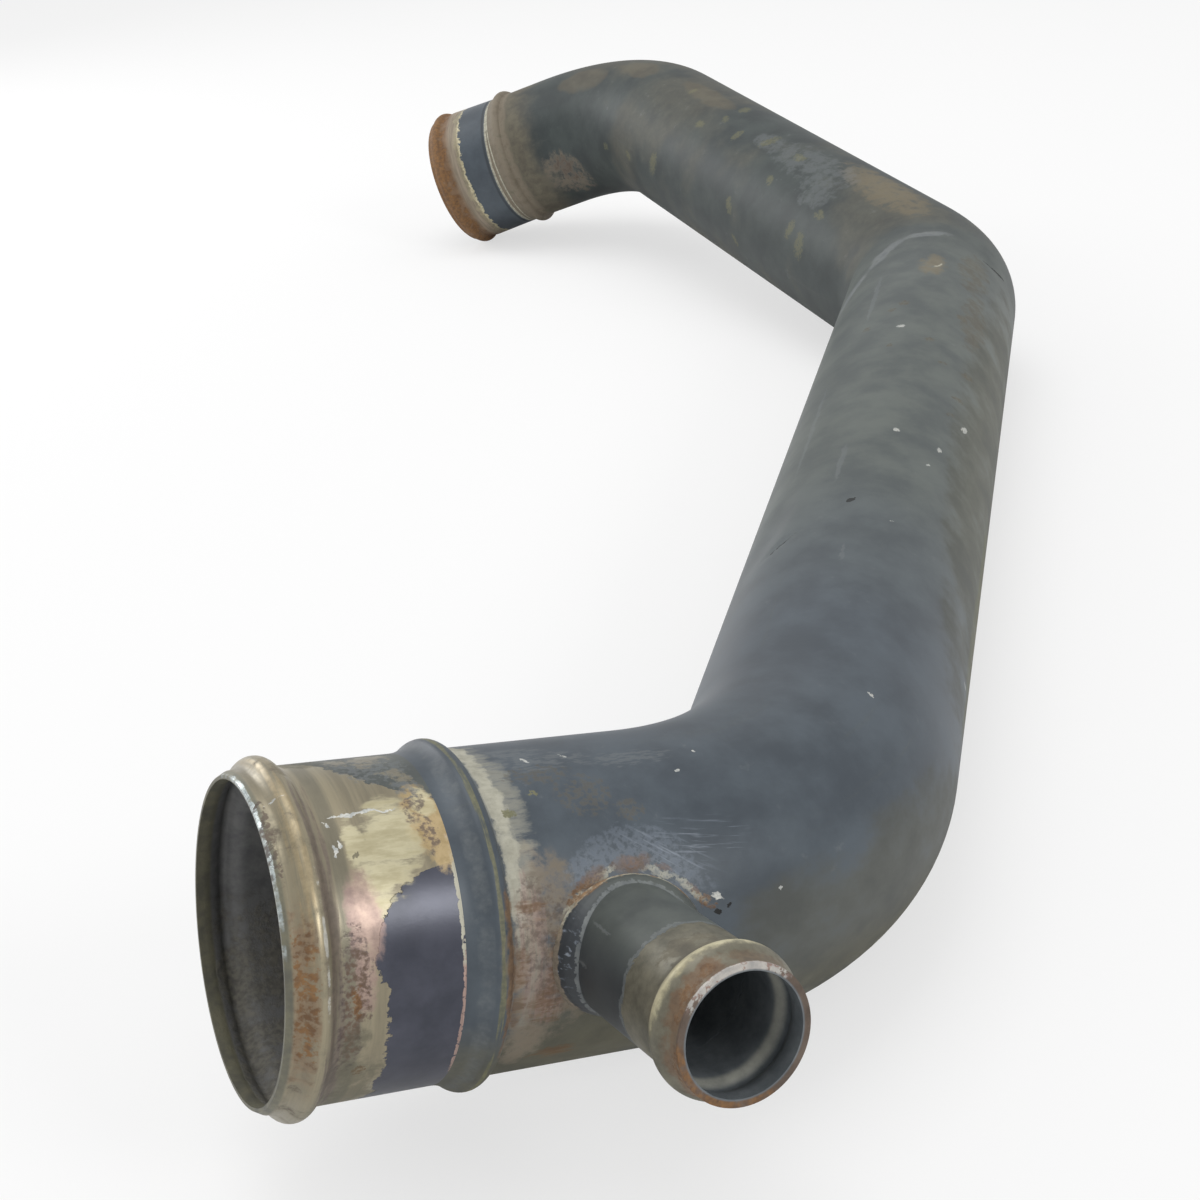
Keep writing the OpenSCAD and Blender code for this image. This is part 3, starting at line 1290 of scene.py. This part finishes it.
    def bead(self, g: Finish) -> None:
        """Wears the crest of the mouth bead and rusts its flanks.

        Args:
            g: The finish that is built up.
        """
        hoops, grain = g.hoops, g.grain
        crest = g.along.band(3.8, 6.0, 0.9) & g.sector(98.0, 44.0, 16.0)
        g.lay(GOLDEN, crest.strewn(hoops, 1.8, 0.3) * 0.35, grain)
        g.lay(OLIVE_DUST, g.along.ramp(10.0, 8.0) & g.flecks.ramp(0.45, 0.65) * 0.35, grain)
        shade = g.along.band(7.2, 10.4, 0.9) & g.sector(150.0, 60.0, 16.0)
        g.lay(VIOLET_BROWN, shade.strewn(hoops, 1.8, 0.3) * 0.6, grain)
        cream = g.along.band(6.7, 7.3, 0.18) & g.sector(143.0, 18.0, 8.0)
        g.lay(CHIP, cream.strewn(g.flecks, 2.4, 0.15) * 0.6, grain)
        rust = g.along.band(1.4, 5.2, 1.0) & g.sector(163.0, 24.0, 16.0)
        g.lay(RUST_FILM, rust.strewn(g.flecks, 2.0, 0.4) * 0.7, grain)
        g.lay(RUST, (rust & g.sector(160.0, 16.0, 12.0)).strewn(grain, 3.0, 0.25) * 0.85,
              g.flecks, 0.04)
        pits = g.along.ramp(12.0, 2.0) & g.flecks.ramp(0.58, 0.68)
        g.lay(BROWN, pits * 0.6, grain, -0.05)

    def rims(self, g: Finish) -> None:
        """Brightens the worn edge of the front mouth, with bare steel at its top whose light
        colour is partly a painted highlight.

        Args:
            g: The finish that is built up.
        """
        g.lay(LIP, g.along.ramp(1.6, 1.0))
        # Bare steel on the top of the rim, its near-white colour partly a painted highlight.
        worn_rim_and_highlight = g.along.ramp(0.9, 0.5) & g.sector(97.0, 30.0, 26.0)
        g.lay(STEEL, worn_rim_and_highlight.strewn(g.flecks, 1.7, 0.3) * 0.9, g.grain)
        pitted = g.along.ramp(2.4, 1.2) & g.sector(106.0, 10.0, 10.0)
        g.lay(BROWN, pitted.strewn(g.grain, 3.0, 0.2) * 0.7, g.flecks, -0.06)

    def wear(self, g: Finish) -> None:
        """Wears the hose end, from its bare plating out to its rim, with painted highlights on the
        plating and the rim.

        Args:
            g: The finish that is built up.
        """
        self.bare_end(g)
        self.bead(g)
        self.rims(g)


@dataclass(frozen=True)
class FrontFinish(TubeFinish):
    """The front stretch: the stop bead, and the branch's worn surroundings."""

    silt: float = 0.12

    def bead_marks(self) -> tuple[Mark, ...]:
        """Lists the marks between the stop bead and the branch, and round the weld."""
        return (
            Mark(OLIVE_DUST, (Spot(58, -152, 24, 26), Spot(70, 185, 30, 14)),
                 BLOTCHES, 1.2, 0.8, 0.4),
            Mark(TAN, (Spot(49.5, 158, 12, 21), Spot(46, 188, 6, 12), Spot(47, 132, 5, 9)),
                 FLECKS, 1.8, 0.85, 0.4),
            Mark(CREAM, (Spot(44.0, 101, 2.5, 27), Spot(43.6, 76, 2.3, 13),
                         Spot(43.4, 134, 1.8, 12)), FLECKS, 1.2, 0.9, 0.4, ROUND, -0.03),
            Mark(CREAM, (Spot(46.0, 104, 4.4, 26), Spot(44.8, 150, 3.4, 20)),
                 FLECKS, 2.0, 0.55, 0.4, FEATHERED),
            Mark(PINK, (Spot(45.5, 152, 4, 14), Spot(49, 170, 6, 9)),
                 GRAIN, 2.0, 0.55, 0.35, HOOPED),
            Mark(BROWN, (Spot(48, 152, 7, 12), Spot(51, 168, 5, 8), Spot(47, 139, 4, 5)),
                 GRAIN, 2.9, 0.5, 0.35, ROUND, -0.03),
            Mark(RUST, (Spot(43.2, 167, 2.4, 10), Spot(49.6, 176, 5, 6), Spot(54, 203, 7, 3),
                        Spot(47, 143, 5, 4), Spot(52, 158, 4, 7)),
                 FLECKS, 3.1, 0.65, 0.3, FEATHERED, 0.05),
            Mark(CREAM, (Spot(60.6, 134.2, 5.5, 1.3, -25), Spot(72.7, 136.6, 5, 1.2, 28),
                         Spot(78.5, 142.5, 6, 1.2, 42), Spot(55, 141, 4, 1.1, -45)),
                 GRAIN, 1.4, 0.8, 0.3, ROUND, 0.05),
            Mark(RUST_FILM, (Spot(58.2, 135.2, 5.2, 2.4, -30), Spot(67.5, 131.4, 5.0, 2.4)),
                 FLECKS, 1.6, 0.6, 0.4),
            Mark(RUST, (Spot(58.2, 135.2, 4.4, 1.7, -30), Spot(67.5, 131.0, 3.4, 1.9),
                        Spot(80.6, 145.6, 4.6, 1.3, 50), Spot(55.0, 139.4, 3.2, 1.5, -50),
                        Spot(73.4, 134.2, 2.8, 1.0, 25)), GRAIN, 2.4, 0.8, 0.3, ROUND, 0.08),
            Mark(OLIVE_SPOT, (Spot(45.9, 108.4, 1.8, 1.3), Spot(52.0, 101.0, 1.8, 1.4)),
                 GRAIN, 2.0, 0.9),
            Mark(HAZE, (Spot(62, 104, 7, 6), Spot(55, 92, 9, 3), Spot(70, 112, 4, 3)),
                 GRAIN, 3.0, 0.5, 0.3),
            Mark(BLUE_RUB, (Spot(74, 132, 13, 5, 38), Spot(60, 129, 8, 4, -20),
                            Spot(68, 126, 12, 5)), GRAIN, 2.7, 0.45, 0.4),
            Mark(PALE_RUB, (Spot(56, 84, 14, 4), Spot(52, 76, 10, 3), Spot(75, 88, 12, 3)),
                 GRAIN, 3.2, 0.5, 0.25, FEATHERED),
            Mark(CHIP, (Spot(83.1, 146.7, 1.3, 0.8, 20), Spot(94.1, 148.7, 0.7, 0.5),
                        Spot(89.5, 89.6, 0.8, 0.5, 40), Spot(83.1, 98.7, 0.7, 0.5),
                        Spot(54.0, 83.5, 1.4, 0.5, 60), Spot(62.5, 82.5, 1.4, 0.6, 70)),
                 GRAIN, 1.2, 0.9, 0.14, ROUND, -0.05),
            Mark(BLACK, (Spot(83.4, 152, 0.9, 0.7), Spot(85.3, 150.3, 0.8, 0.6)), GRAIN, 0.8),
        )

    def stop_bead(self, g: Finish) -> None:
        """Wears the stop bead along its crest and flanks, and paints a sheen on its mouth-side
        flank.

        Args:
            g: The finish that is built up.
        """
        hoops, grain = g.hoops, g.grain
        worn = g.along.band(39.0, 39.8, 0.35).strewn(hoops, 2.2, 0.2)
        g.lay(OLIVE_SPOT, worn * 0.7, grain, -0.02)
        # Painted highlight: a pale sheen line along the mouth-side flank of the bead.
        g.lay(PALE_RUB, g.along.band(35.6, 37.6, 0.9).strewn(g.flecks, 2.4, 0.5) * 0.3, grain)
        g.lay(PALE_RUB, g.along.band(41.6, 42.4, 0.3).strewn(hoops, 1.9, 0.2) * 0.5, grain)
        brown = g.along.band(40.4, 42.2, 0.6) & g.sector(163.0, 22.0, 14.0)
        g.lay(RUST_FILM, brown.strewn(g.flecks, 1.4, 0.3) * 0.9, grain)

    def wear(self, g: Finish) -> None:
        """Wears the front stretch round the branch and along the stop bead.

        Args:
            g: The finish that is built up.
        """
        rubbed = g.scratches(Spot(75, 133, 13, 7, 35), 0.8)
        rubbed = rubbed | g.scratches(Spot(82, 126, 11, 6, 10), 0.8)
        g.lay(BLUE_RUB, rubbed * 0.55)
        for mark in self.bead_marks():
            g.mark(mark)
        self.stop_bead(g)


@dataclass(frozen=True)
class FarFinish(TubeFinish):
    """The far stretch: a dusty bend, a bead, slate paint and a rusty mouth."""

    silt: float = 0.12

    def wear(self, g: Finish) -> None:
        """Wears the far end: rust to a cream edge, slate, a dusty bead, and painted shade at the
        foot of the stop bead.

        Args:
            g: The finish that is built up.
        """
        g.mark(Mark(TAN, (Spot(812, -42, 22, 15, 20),), FLECKS, 2.2, 0.7, 0.4))
        g.mark(Mark(BROWN, (Spot(811, -36, 14, 8, 20),), FLECKS, 2.8, 0.6, 0.3))
        back = self.length - g.along
        torn = back + (g.flecks - 0.5) * 7.0
        fade = back.ramp(74.0, 38.0) & back.ramp(33.0, 34.0)
        g.lay(HAZE, fade.bitten(g.blotches, 0.9, 0.3) * 0.85)
        g.lay(TAN, back.band(34.0, 44.0, 1.8).strewn(g.flecks, 1.6, 0.4) * 0.65)
        g.lay(SLATE, back.ramp(33.6, 33.0), g.blotches)
        g.lay(CREAM, back.band(33.2, 34.2, 0.3).strewn(g.hoops, 1.2) * 0.8, g.grain)
        # Painted shade at the foot of the stop bead's mouth-side flank.
        g.lay(BLACK, back.band(31.4, 32.6, 0.6) * 0.5, g.grain)
        g.lay(KHAKI, torn.ramp(18.6, 18.2), g.flecks, -0.06)
        g.lay(BRASSY, torn.band(17.2, 18.6, 0.3).strewn(g.flecks, 2.0, 0.3) * 0.7, g.grain)
        g.lay(TAN, torn.ramp(16.4, 14.6), g.hoops)
        g.lay(RUST_FILM, back.ramp(13.5, 9.5))
        g.lay(RUST, back.ramp(13.0, 4.0).strewn(g.flecks, 1.5) * 0.7, g.grain, 0.05)


@dataclass(frozen=True)
class SpigotFinish:
    """The branch spigot: painted at its foot, bare and rusting at its beaded mouth, with painted
    shade on one side, painted highlights on its bead and rim, and a lining lightened as painted
    light.
    """

    radius: float = 12.7
    mouth: float = 74.8
    bare_from: float = 54.2

    def marks(self) -> tuple[Mark, ...]:
        """Lists the spigot's marks, with the angle round the branch as their place."""
        return (
            Mark(HAZE, (Spot(66, 95, 4, 12), Spot(61, 110, 3, 8)), FLECKS, 1.4, 0.6),
            # Cream on the bead's crest: a painted highlight.
            Mark(CREAM, (Spot(66.9, 145, 1.1, 6.5), Spot(66.6, 110, 0.9, 4.5)),
                 FLECKS, 1.4, 0.55, 0.4, HOOPED),
            Mark(RUST_FILM, (Spot(72.2, 150, 2.6, 12), Spot(71.8, 120, 2.4, 6),
                             Spot(72.6, 225, 2.6, 16)), FLECKS, 1.8, 0.7, 0.35),
            Mark(RUST, (Spot(72.4, 140, 1.8, 3.4), Spot(73.0, 156, 1.6, 2.4),
                        Spot(72.0, 118, 1.4, 2.2), Spot(73.4, 216, 1.6, 8),
                        Spot(73.6, 245, 1.4, 6)), GRAIN, 2.2, 0.8, 0.25, ROUND, 0.06),
            Mark(PALE_RUB, (Spot(36, 172, 8, 0.8), Spot(40, 140, 5, 0.5)),
                 FLECKS, 1.6, 0.4, 0.14, DRAWN),
        )

    def build(self) -> bpy.types.Material:
        """Makes the material.

        Returns:
            The material of the spigot.
        """
        g = Finish("worn_spigot_coating", "stub", self.radius, NIGHT_PAINT)
        grain, hoops = g.grain, g.hoops
        g.lay(SLATE_GREEN, g.blotches.ramp(0.35, 0.75) * 0.4)
        # Painted shade on the side of the spigot that faces away from the light.
        g.lay(PAINTED_SHADE_COAT, g.sector(200.0, 45.0, 35.0) * 0.85, g.blotches)
        torn = g.along + (g.flecks - 0.5) * 5.0 + (grain - 0.5) * 1.2
        bare = torn.ramp(self.bare_from - 0.1, self.bare_from + 0.1)
        lip = torn.band(self.bare_from - 0.9, self.bare_from, 0.25)
        g.lay(PALE_RUB, lip.strewn(grain, 1.2) * 0.5, grain)
        g.lay(DULL_ZINC, bare, g.flecks, -0.08)
        g.lay(OLIVE_DUST, bare & g.blotches.ramp(0.4, 0.7) * 0.55)
        for mark in self.marks():
            g.mark(mark)
        # The bright band on the bead's crest is partly worn plating and partly a painted
        # highlight.
        crest = g.along.band(self.mouth - 8.6, self.mouth - 6.0, 1.2) & g.sector(118.0, 44.0, 26.0)
        g.lay(BRASSY, crest.strewn(g.flecks, 1.5, 0.5) * 0.9, g.blotches)
        flank = g.along.ramp(self.mouth - 5.4, self.mouth - 3.4)
        g.lay(RUST_FILM, flank.strewn(g.flecks, 2.2, 0.35) * 0.45, grain)
        rim = g.along.ramp(self.mouth - 0.7, self.mouth - 0.2)
        g.lay(BROWN, rim * 0.8, g.flecks)
        g.lay(RUST, (rim & g.sector(235.0, 55.0, 20.0)).strewn(g.flecks, 2.4, 0.3) * 0.7,
              grain, 0.05)
        # The light rim at the top is partly worn metal and partly a painted highlight.
        worn_rim_and_highlight = rim & g.sector(100.0, 36.0, 26.0)
        g.lay(PINK, worn_rim_and_highlight.strewn(g.flecks, 1.6, 0.3) * 0.8)
        g.lay(CHIP, worn_rim_and_highlight.strewn(grain, 1.6) * 0.7)
        lining = g.read("lining").ramp(*LINED)
        # The spigot's lining and groove are lightened: partly their own colour, partly painted
        # light.
        g.lay(SPIGOT_LINING_AND_PAINTED_LIGHT, lining)
        groove = g.along.band(self.mouth - 9.5, self.mouth - 7.6, 0.7)
        g.lay(GROOVE_PAINTED_LIGHT, lining & groove)
        return g.close()


@dataclass(frozen=True)
class WeldFinish:
    """The painted weld, scraped on its broad side and rusting along its toe, with painted shade on
    one side and a cream toe line that is partly a painted highlight.
    """

    radius: float = 14.5

    def build(self) -> bpy.types.Material:
        """Makes the material.

        Returns:
            The material of the weld.
        """
        g = Finish("painted_weld", "stub", self.radius, NIGHT_PAINT)
        grain, drawn = g.grain, g.mottle(GRAIN, DRAWN)
        seat, neck = g.read("seat"), g.read("neck")
        # Painted shade on the side of the weld that faces away from the light.
        g.lay(PAINTED_SHADE_COAT, g.sector(185.0, 60.0, 25.0), g.blotches)
        g.lay(BLUE_RUB, g.sector(172.0, 26.0, 14.0) & drawn.ramp(0.55, 0.68) * 0.8)
        g.lay(PALE_RUB, neck.ramp(0.75, 0.2).strewn(grain, 1.6) * 0.7)
        # Cream line along the toe, partly a painted highlight on the weld's edge.
        toe = seat.ramp(1.3, 0.2) & g.sector(95.0, 62.0, 16.0)
        g.lay(CREAM, toe.strewn(g.flecks, 1.2) * 0.9, grain)
        rust = seat.ramp(1.6, 0.3) & g.sector(90.0, 70.0, 18.0)
        g.lay(RUST, rust.strewn(g.flecks, 2.6, 0.25) * 0.8, grain, 0.08)
        low = seat.ramp(2.2, 0.4) & g.sector(215.0, 50.0, 20.0)
        g.lay(TAN, low.strewn(g.flecks, 1.4) * 0.8, grain)
        return g.close()


# The pieces


@dataclass
class MainTube:
    """The bent tube with its beaded hose ends."""

    route: Route = field(default_factory=Route)
    radius: float = 31.75
    wall: float = 1.5
    front_beads: tuple[Bead, Bead] = (
        Bead(5.9, 2.3, 4.5, 4.5, 2.6), Bead(39.4, 2.3, 6.4, 3.0, 2.4))
    far_beads: tuple[Bead, Bead] = (
        Bead(4.8, 2.3, 4.5, 4.5, 2.6), Bead(38.7, 2.3, 6.4, 3.0, 2.4))
    rim_turn: float = 0.8
    rim_length: float = 1.4
    rings_between: int = 8
    branch_at: float = 65.3
    branch_turn: float = 160.0
    branch_bore: float = 11.2
    around: int = 136
    hose_until: float = 33.0
    front_until: float = 110.0
    far_from: float = 782.0

    def mouth_profile(self, beads: tuple[Bead, Bead]) -> list[tuple[float, float]]:
        """Draws a hose end's outline from its mouth to behind its stop bead.

        Args:
            beads: The mouth bead and the stop bead.

        Returns:
            Points as distance from the mouth and radius.
        """
        points = [(0.0, self.radius), (self.rim_length, self.radius)]
        points += beads[0].profile(self.radius)
        first, last = points[-1][0], beads[1].at - beads[1].rise
        points += [(first + (last - first) * i / self.rings_between, self.radius)
                   for i in range(1, self.rings_between)]
        points += beads[1].profile(self.radius)
        return [p for i, p in enumerate(points) if i == 0 or p[0] - points[i - 1][0] > 0.01]

    def hose_end(self, skin: Skin, direction: Array, stations: list[tuple[float, float]]
                 ) -> None:
        """Extrudes a hose end through its stations.

        Args:
            skin: The skin, whose last ring is the first station.
            direction: Unit direction of growth.
            stations: Distances along that direction and radii.
        """
        for before, after in zip(stations, stations[1:]):
            skin.step(direction, after[0] - before[0], after[1])

    def grow(self) -> Piece:
        """Grows the outer skin from the front mouth to the far one.

        Returns:
            The open skin.
        """
        parts = self.route.parts()
        front = self.mouth_profile(self.front_beads)
        skin = Skin("main_tube_skin", parts[0].start, parts[0].axes, self.radius, self.around)
        self.hose_end(skin, parts[0].ahead, front)
        skin.run(parts[0].ahead, parts[0].length - front[-1][0], 3.0)
        skin.swing(parts[1], 3.0)
        for length, spacing in ((50.0, 4.0), (60.0, 1.6), (227.5, 4.6)):
            skin.run(parts[2].ahead, length, spacing)
        skin.swing(parts[3], 2.8)
        skin.run(parts[4].ahead, parts[4].length, 4.8)
        skin.swing(parts[5], 3.0)
        far = self.mouth_profile(self.far_beads)
        leg = parts[6]
        skin.run(leg.ahead, leg.length - far[-1][0], 3.0)
        self.hose_end(skin, leg.ahead, [(leg.length - s, r) for s, r in reversed(far)])
        return skin.close()

    def press_dents(self, piece: Piece) -> None:
        """Presses the dents and forming marks into the skin.

        Args:
            piece: The tube's skin.
        """
        along, offset, outward = self.route.locate(vertices_of(piece))
        face_outward(piece, outward)
        angle = np.degrees(np.arctan2(offset[:, 1], offset[:, 0]))
        # Place along and around, half length and half width, turn, and height.
        dents = (
            ((234.0, 33.0), (30.0, 9.0), 8.0, -0.9),
            ((217.0, 44.0), (9.5, 2.2), 48.0, -0.55),
            ((300.0, 60.0), (40.0, 14.0), 0.0, -0.35),
            ((262.0, 128.0), (36.0, 10.0), 10.0, -0.45),
            ((205.0, 150.0), (22.0, 6.0), -8.0, -0.40),
            ((472.0, 45.0), (5.0, 26.0), 20.0, 0.45),
            ((478.0, 125.0), (3.0, 14.0), -14.0, -0.60),
            ((640.0, 60.0), (34.0, 16.0), 0.0, -0.35),
        )
        for centre, size, turn, height in dents:
            weights = bump_weights(along, angle, centre, size, turn, self.radius)
            press(piece, weights, height)

    def build(self) -> Piece:
        """Builds the tube with its wall, branch hole and finish.

        Returns:
            The finished piece.
        """
        piece = self.grow()
        self.press_dents(piece)
        thicken(piece, self.wall)
        self.turn_rims(piece)
        self.cut_branch_hole(piece)
        along, offset, outward = self.route.locate(vertices_of(piece))
        share = offset / np.maximum(np.linalg.norm(offset, axis=1), 1e-6)[:, None]
        store(piece, "pipe", "FLOAT_VECTOR", np.column_stack([along, share * self.radius]))
        store_lining(piece, outward)
        store(piece, "sky", "FLOAT", outward[:, 2])
        soften(piece)
        self.dress_stretches(piece)
        return piece

    def dress_stretches(self, piece: Piece) -> None:
        """Gives the stretches of the tube their finishes.

        Args:
            piece: The finished tube.
        """
        piece.data.materials.clear()
        for finish in (HoseFinish, FrontFinish, TubeFinish, FarFinish):
            piece.data.materials.append(finish(self.radius, self.route.length).build())
        centres = np.empty(len(piece.data.polygons) * 3)
        piece.data.polygons.foreach_get("center", centres)
        along, _, _ = self.route.locate(centres.reshape(-1, 3) / MM)
        limits = (self.hose_until, self.front_until, self.far_from)
        stretch = np.digitize(along, limits).astype(np.int32)
        piece.data.polygons.foreach_set("material_index", stretch)

    def turn_rims(self, piece: Piece) -> None:
        """Turns down the outer edges of both mouths to a chamfer.

        Args:
            piece: The tube with its wall.
        """
        parts = self.route.parts()
        front, far = parts[0], parts[-1]
        ends = (front.start, far.start + far.ahead * far.length)
        along, offset, _ = self.route.locate(vertices_of(piece))
        outer = np.linalg.norm(offset, axis=1) > self.radius - 0.3
        share = (self.radius - self.rim_turn) / self.radius
        for place, end in zip(ends, (0.0, self.route.length)):
            chosen = outer & (np.abs(along - end) < 0.2)
            take(piece)
            pick_vertices(piece, chosen)
            scale(share, place)
            bpy.ops.object.mode_set(mode="OBJECT")

    def branch_axis(self) -> tuple[Array, Array]:
        """Returns the branch's foot on the centreline and its direction.

        Returns:
            A point in millimetres and a unit direction.
        """
        leg = self.route.parts()[0]
        turn = math.radians(self.branch_turn)
        out = leg.axes @ np.array([math.cos(turn), math.sin(turn), 0.0])
        return leg.start + leg.ahead * self.branch_at, out

    def store_stub(self, piece: Piece) -> tuple[Array, Array, Array]:
        """Stores where the vertices of a piece on the branch lie.

        Args:
            piece: The spigot or the weld.

        Returns:
            Heights above the main tube's axis, and distances ahead and across.
        """
        foot, out = self.branch_axis()
        forward = self.route.parts()[0].ahead
        rows = vertices_of(piece) - foot
        height, ahead, across = rows @ out, rows @ forward, rows @ np.cross(out, forward)
        store(piece, "stub", "FLOAT_VECTOR", np.column_stack([height, ahead, across]))
        return height, ahead, across

    def cut_branch_hole(self, piece: Piece) -> None:
        """Cuts the hole under the branch."""
        foot, out = self.branch_axis()
        cut(piece, cylinder("branch_cutter", foot, out, self.branch_bore, self.radius + 3))


@dataclass
class Branch:
    """The beaded spigot that stands on the main tube."""

    tube: MainTube
    radius: float = 12.7
    wall: float = 1.5
    reach: float = 74.8
    bead: Bead = Bead(6.7, 1.5, 4.6, 4.6, 3.2)
    rim_length: float = 0.9
    buried_at: float = 24.0
    clearance: float = 0.03
    around: int = 112

    def radial(self, piece: Piece) -> Array:
        """Returns the way from the branch's axis to each vertex, in millimetres.

        Args:
            piece: The spigot.

        Returns:
            One row for each vertex.
        """
        foot, out = self.tube.branch_axis()
        rows = vertices_of(piece) - foot
        return rows - np.outer(rows @ out, out)

    def build(self) -> Piece:
        """Builds the spigot with its wall, saddle and finish.

        Returns:
            The finished piece.
        """
        foot, out = self.tube.branch_axis()
        leg = self.tube.route.parts()[0]
        axes = np.column_stack([leg.ahead, np.cross(-out, leg.ahead), -out])
        skin = Skin("branch_spigot_skin", foot + out * self.reach, axes, self.radius, self.around)
        points = [(0.0, self.radius), (self.rim_length, self.radius)]
        points += self.bead.profile(self.radius)
        for before, after in zip(points, points[1:]):
            if after[0] - before[0] > 0.01:
                skin.step(-out, after[0] - before[0], after[1])
        skin.run(-out, self.reach - self.buried_at - points[-1][0], 1.6)
        piece = skin.close()
        face_outward(piece, self.radial(piece))
        thicken(piece, self.wall)
        cut(piece, cylinder("saddle_cutter", leg.start - leg.ahead * 5, leg.ahead,
                            self.tube.radius - self.clearance, leg.length + 20, 192))
        self.tube.store_stub(piece)
        outward = self.radial(piece)
        store_lining(piece, outward / np.linalg.norm(outward, axis=1)[:, None])
        soften(piece)
        dress(piece, SpigotFinish(self.radius, self.reach).build())
        return piece


@dataclass
class Weld:
    """The weld round the foot of the branch."""

    tube: MainTube
    spigot_radius: float = 12.7

    def build(self) -> Piece:
        """Builds the weld from a copy of its CAD node.

        Returns:
            The finished piece.
        """
        take(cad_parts["branch_weld"])
        bpy.ops.object.duplicate()
        piece = bpy.context.object
        piece.name = "branch_weld_bead"
        piece.data.name = "branch_weld_bead"
        edit(piece, bpy.ops.mesh.remove_doubles, threshold=0.002 * MM)
        apply_modifier(piece, "SUBSURF",
                       {"subdivision_type": "SIMPLE", "levels": 2, "render_levels": 2})
        height, ahead, across = self.tube.store_stub(piece)
        store(piece, "seat", "FLOAT", np.hypot(height, across) - self.tube.radius)
        store(piece, "neck", "FLOAT", np.hypot(ahead, across) - self.spigot_radius)
        soften(piece, 50)
        dress(piece, WeldFinish().build())
        return piece


@dataclass
class Studio:
    """The floor, the soft lights and the camera."""

    floor_z: float
    camera_at: tuple[float, float, float] = (0.15337, -0.27316, 0.20467)
    forward: tuple[float, float, float] = (-0.24456, 0.87098, -0.42612)
    upward: tuple[float, float, float] = (-0.00692, 0.43789, 0.899)
    lens: float = 58.785
    floor_size: float = 12.0
    floor_glow: float = 0.62
    room_light: float = 0.72

    def set_camera(self) -> None:
        """Places the camera at the photograph's viewing angle."""
        data = bpy.data.cameras.new("camera")
        data.sensor_fit = "HORIZONTAL"
        data.sensor_width = 36.0
        data.lens = self.lens
        data.clip_start, data.clip_end = 0.01, 50.0
        camera = bpy.data.objects.new("camera", data)
        bpy.context.collection.objects.link(camera)
        ahead, above = Vector(self.forward).normalized(), Vector(self.upward)
        right = ahead.cross(above).normalized()
        above = right.cross(ahead)
        turn = Matrix((right, above, -ahead)).transposed().to_4x4()
        camera.matrix_world = Matrix.Translation(self.camera_at) @ turn
        bpy.context.scene.camera = camera

    def lay_floor(self) -> None:
        """Lays a plain pale floor."""
        deselect_all()
        bpy.ops.mesh.primitive_plane_add(size=self.floor_size,
                                         location=(0.0, 0.35, self.floor_z))
        floor = bpy.context.object
        floor.name = "floor"
        bpy.ops.object.transform_apply(location=True)
        nodes = Nodes("pale_floor")
        seen = nodes.add("ShaderNodeLightPath", out="Is Camera Ray")
        matt = nodes.add("ShaderNodeBsdfDiffuse", None, {"Color": (0.80, 0.80, 0.80, 1.0)})
        glow = nodes.add("ShaderNodeEmission", None, {"Color": (1.0, 1.0, 1.0, 1.0)})
        both = nodes.add("ShaderNodeMixShader", None,
                         {0: seen * self.floor_glow, 1: matt, 2: glow})
        nodes.add("ShaderNodeOutputMaterial", None, {"Surface": both})
        dress(floor, nodes.material)

    def add_light(self, name: str, place: Sequence[float], target: Sequence[float], size: float,
                  power: float) -> None:
        """Adds one square softbox that looks at a target.

        Args:
            name: Name of the light.
            place: Where it stands, in metres.
            target: What it looks at.
            size: Side of its square.
            power: Its power in watts.
        """
        data = bpy.data.lights.new(name, "AREA")
        data.shape = "SQUARE"
        data.size, data.energy = size, power
        lamp = bpy.data.objects.new(name, data)
        bpy.context.collection.objects.link(lamp)
        lamp.location = place
        look = Vector(target) - Vector(place)
        lamp.rotation_euler = look.to_track_quat("-Z", "Y").to_euler()

    def light(self) -> None:
        """Sets the soft light of the room and its softboxes."""
        world = bpy.data.worlds.new("room")
        bpy.context.scene.world = world
        world.use_nodes = True
        back = world.node_tree.nodes["Background"]
        back.inputs[0].default_value = (1, 1, 1, 1)
        back.inputs[1].default_value = self.room_light
        self.add_light("overhead", (-0.3, 0.5, 1.9), (0.0, 0.35, 0.0), 1.4, 14.0)
        self.add_light("window", (1.3, -0.55, 0.85), (0.03, 0.05, 0.0), 0.45, 7.0)
        self.add_light("side", (-1.1, 0.9, 0.45), (0.0, 0.1, 0.0), 0.5, 4.0)

    def build(self) -> None:
        """Sets up the whole studio."""
        bpy.context.scene.view_settings.view_transform = "Standard"
        self.set_camera()
        self.lay_floor()
        self.light()


def report(piece: Piece) -> None:
    """Logs a piece's size."""
    piece.data.calc_loop_triangles()
    LOG.info("%s: %d vertices, %d triangles", piece.name, len(piece.data.vertices),
             len(piece.data.loop_triangles))


def main() -> None:
    """Builds the studio and the three pieces of the pipe."""
    logging.basicConfig(level=logging.INFO, format="%(name)s: %(message)s")
    Studio(floor_z=float(CAD_BOX[0][2])).build()
    tube = MainTube()
    made = (
        (tube.build(), "main_tube"),
        (Branch(tube).build(), "branch_spigot"),
        (Weld(tube).build(), "branch_weld"),
    )
    for piece, node in made:
        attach(piece, "root")
        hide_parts(node)
        report(piece)


if __name__ == "__main__":
    main()
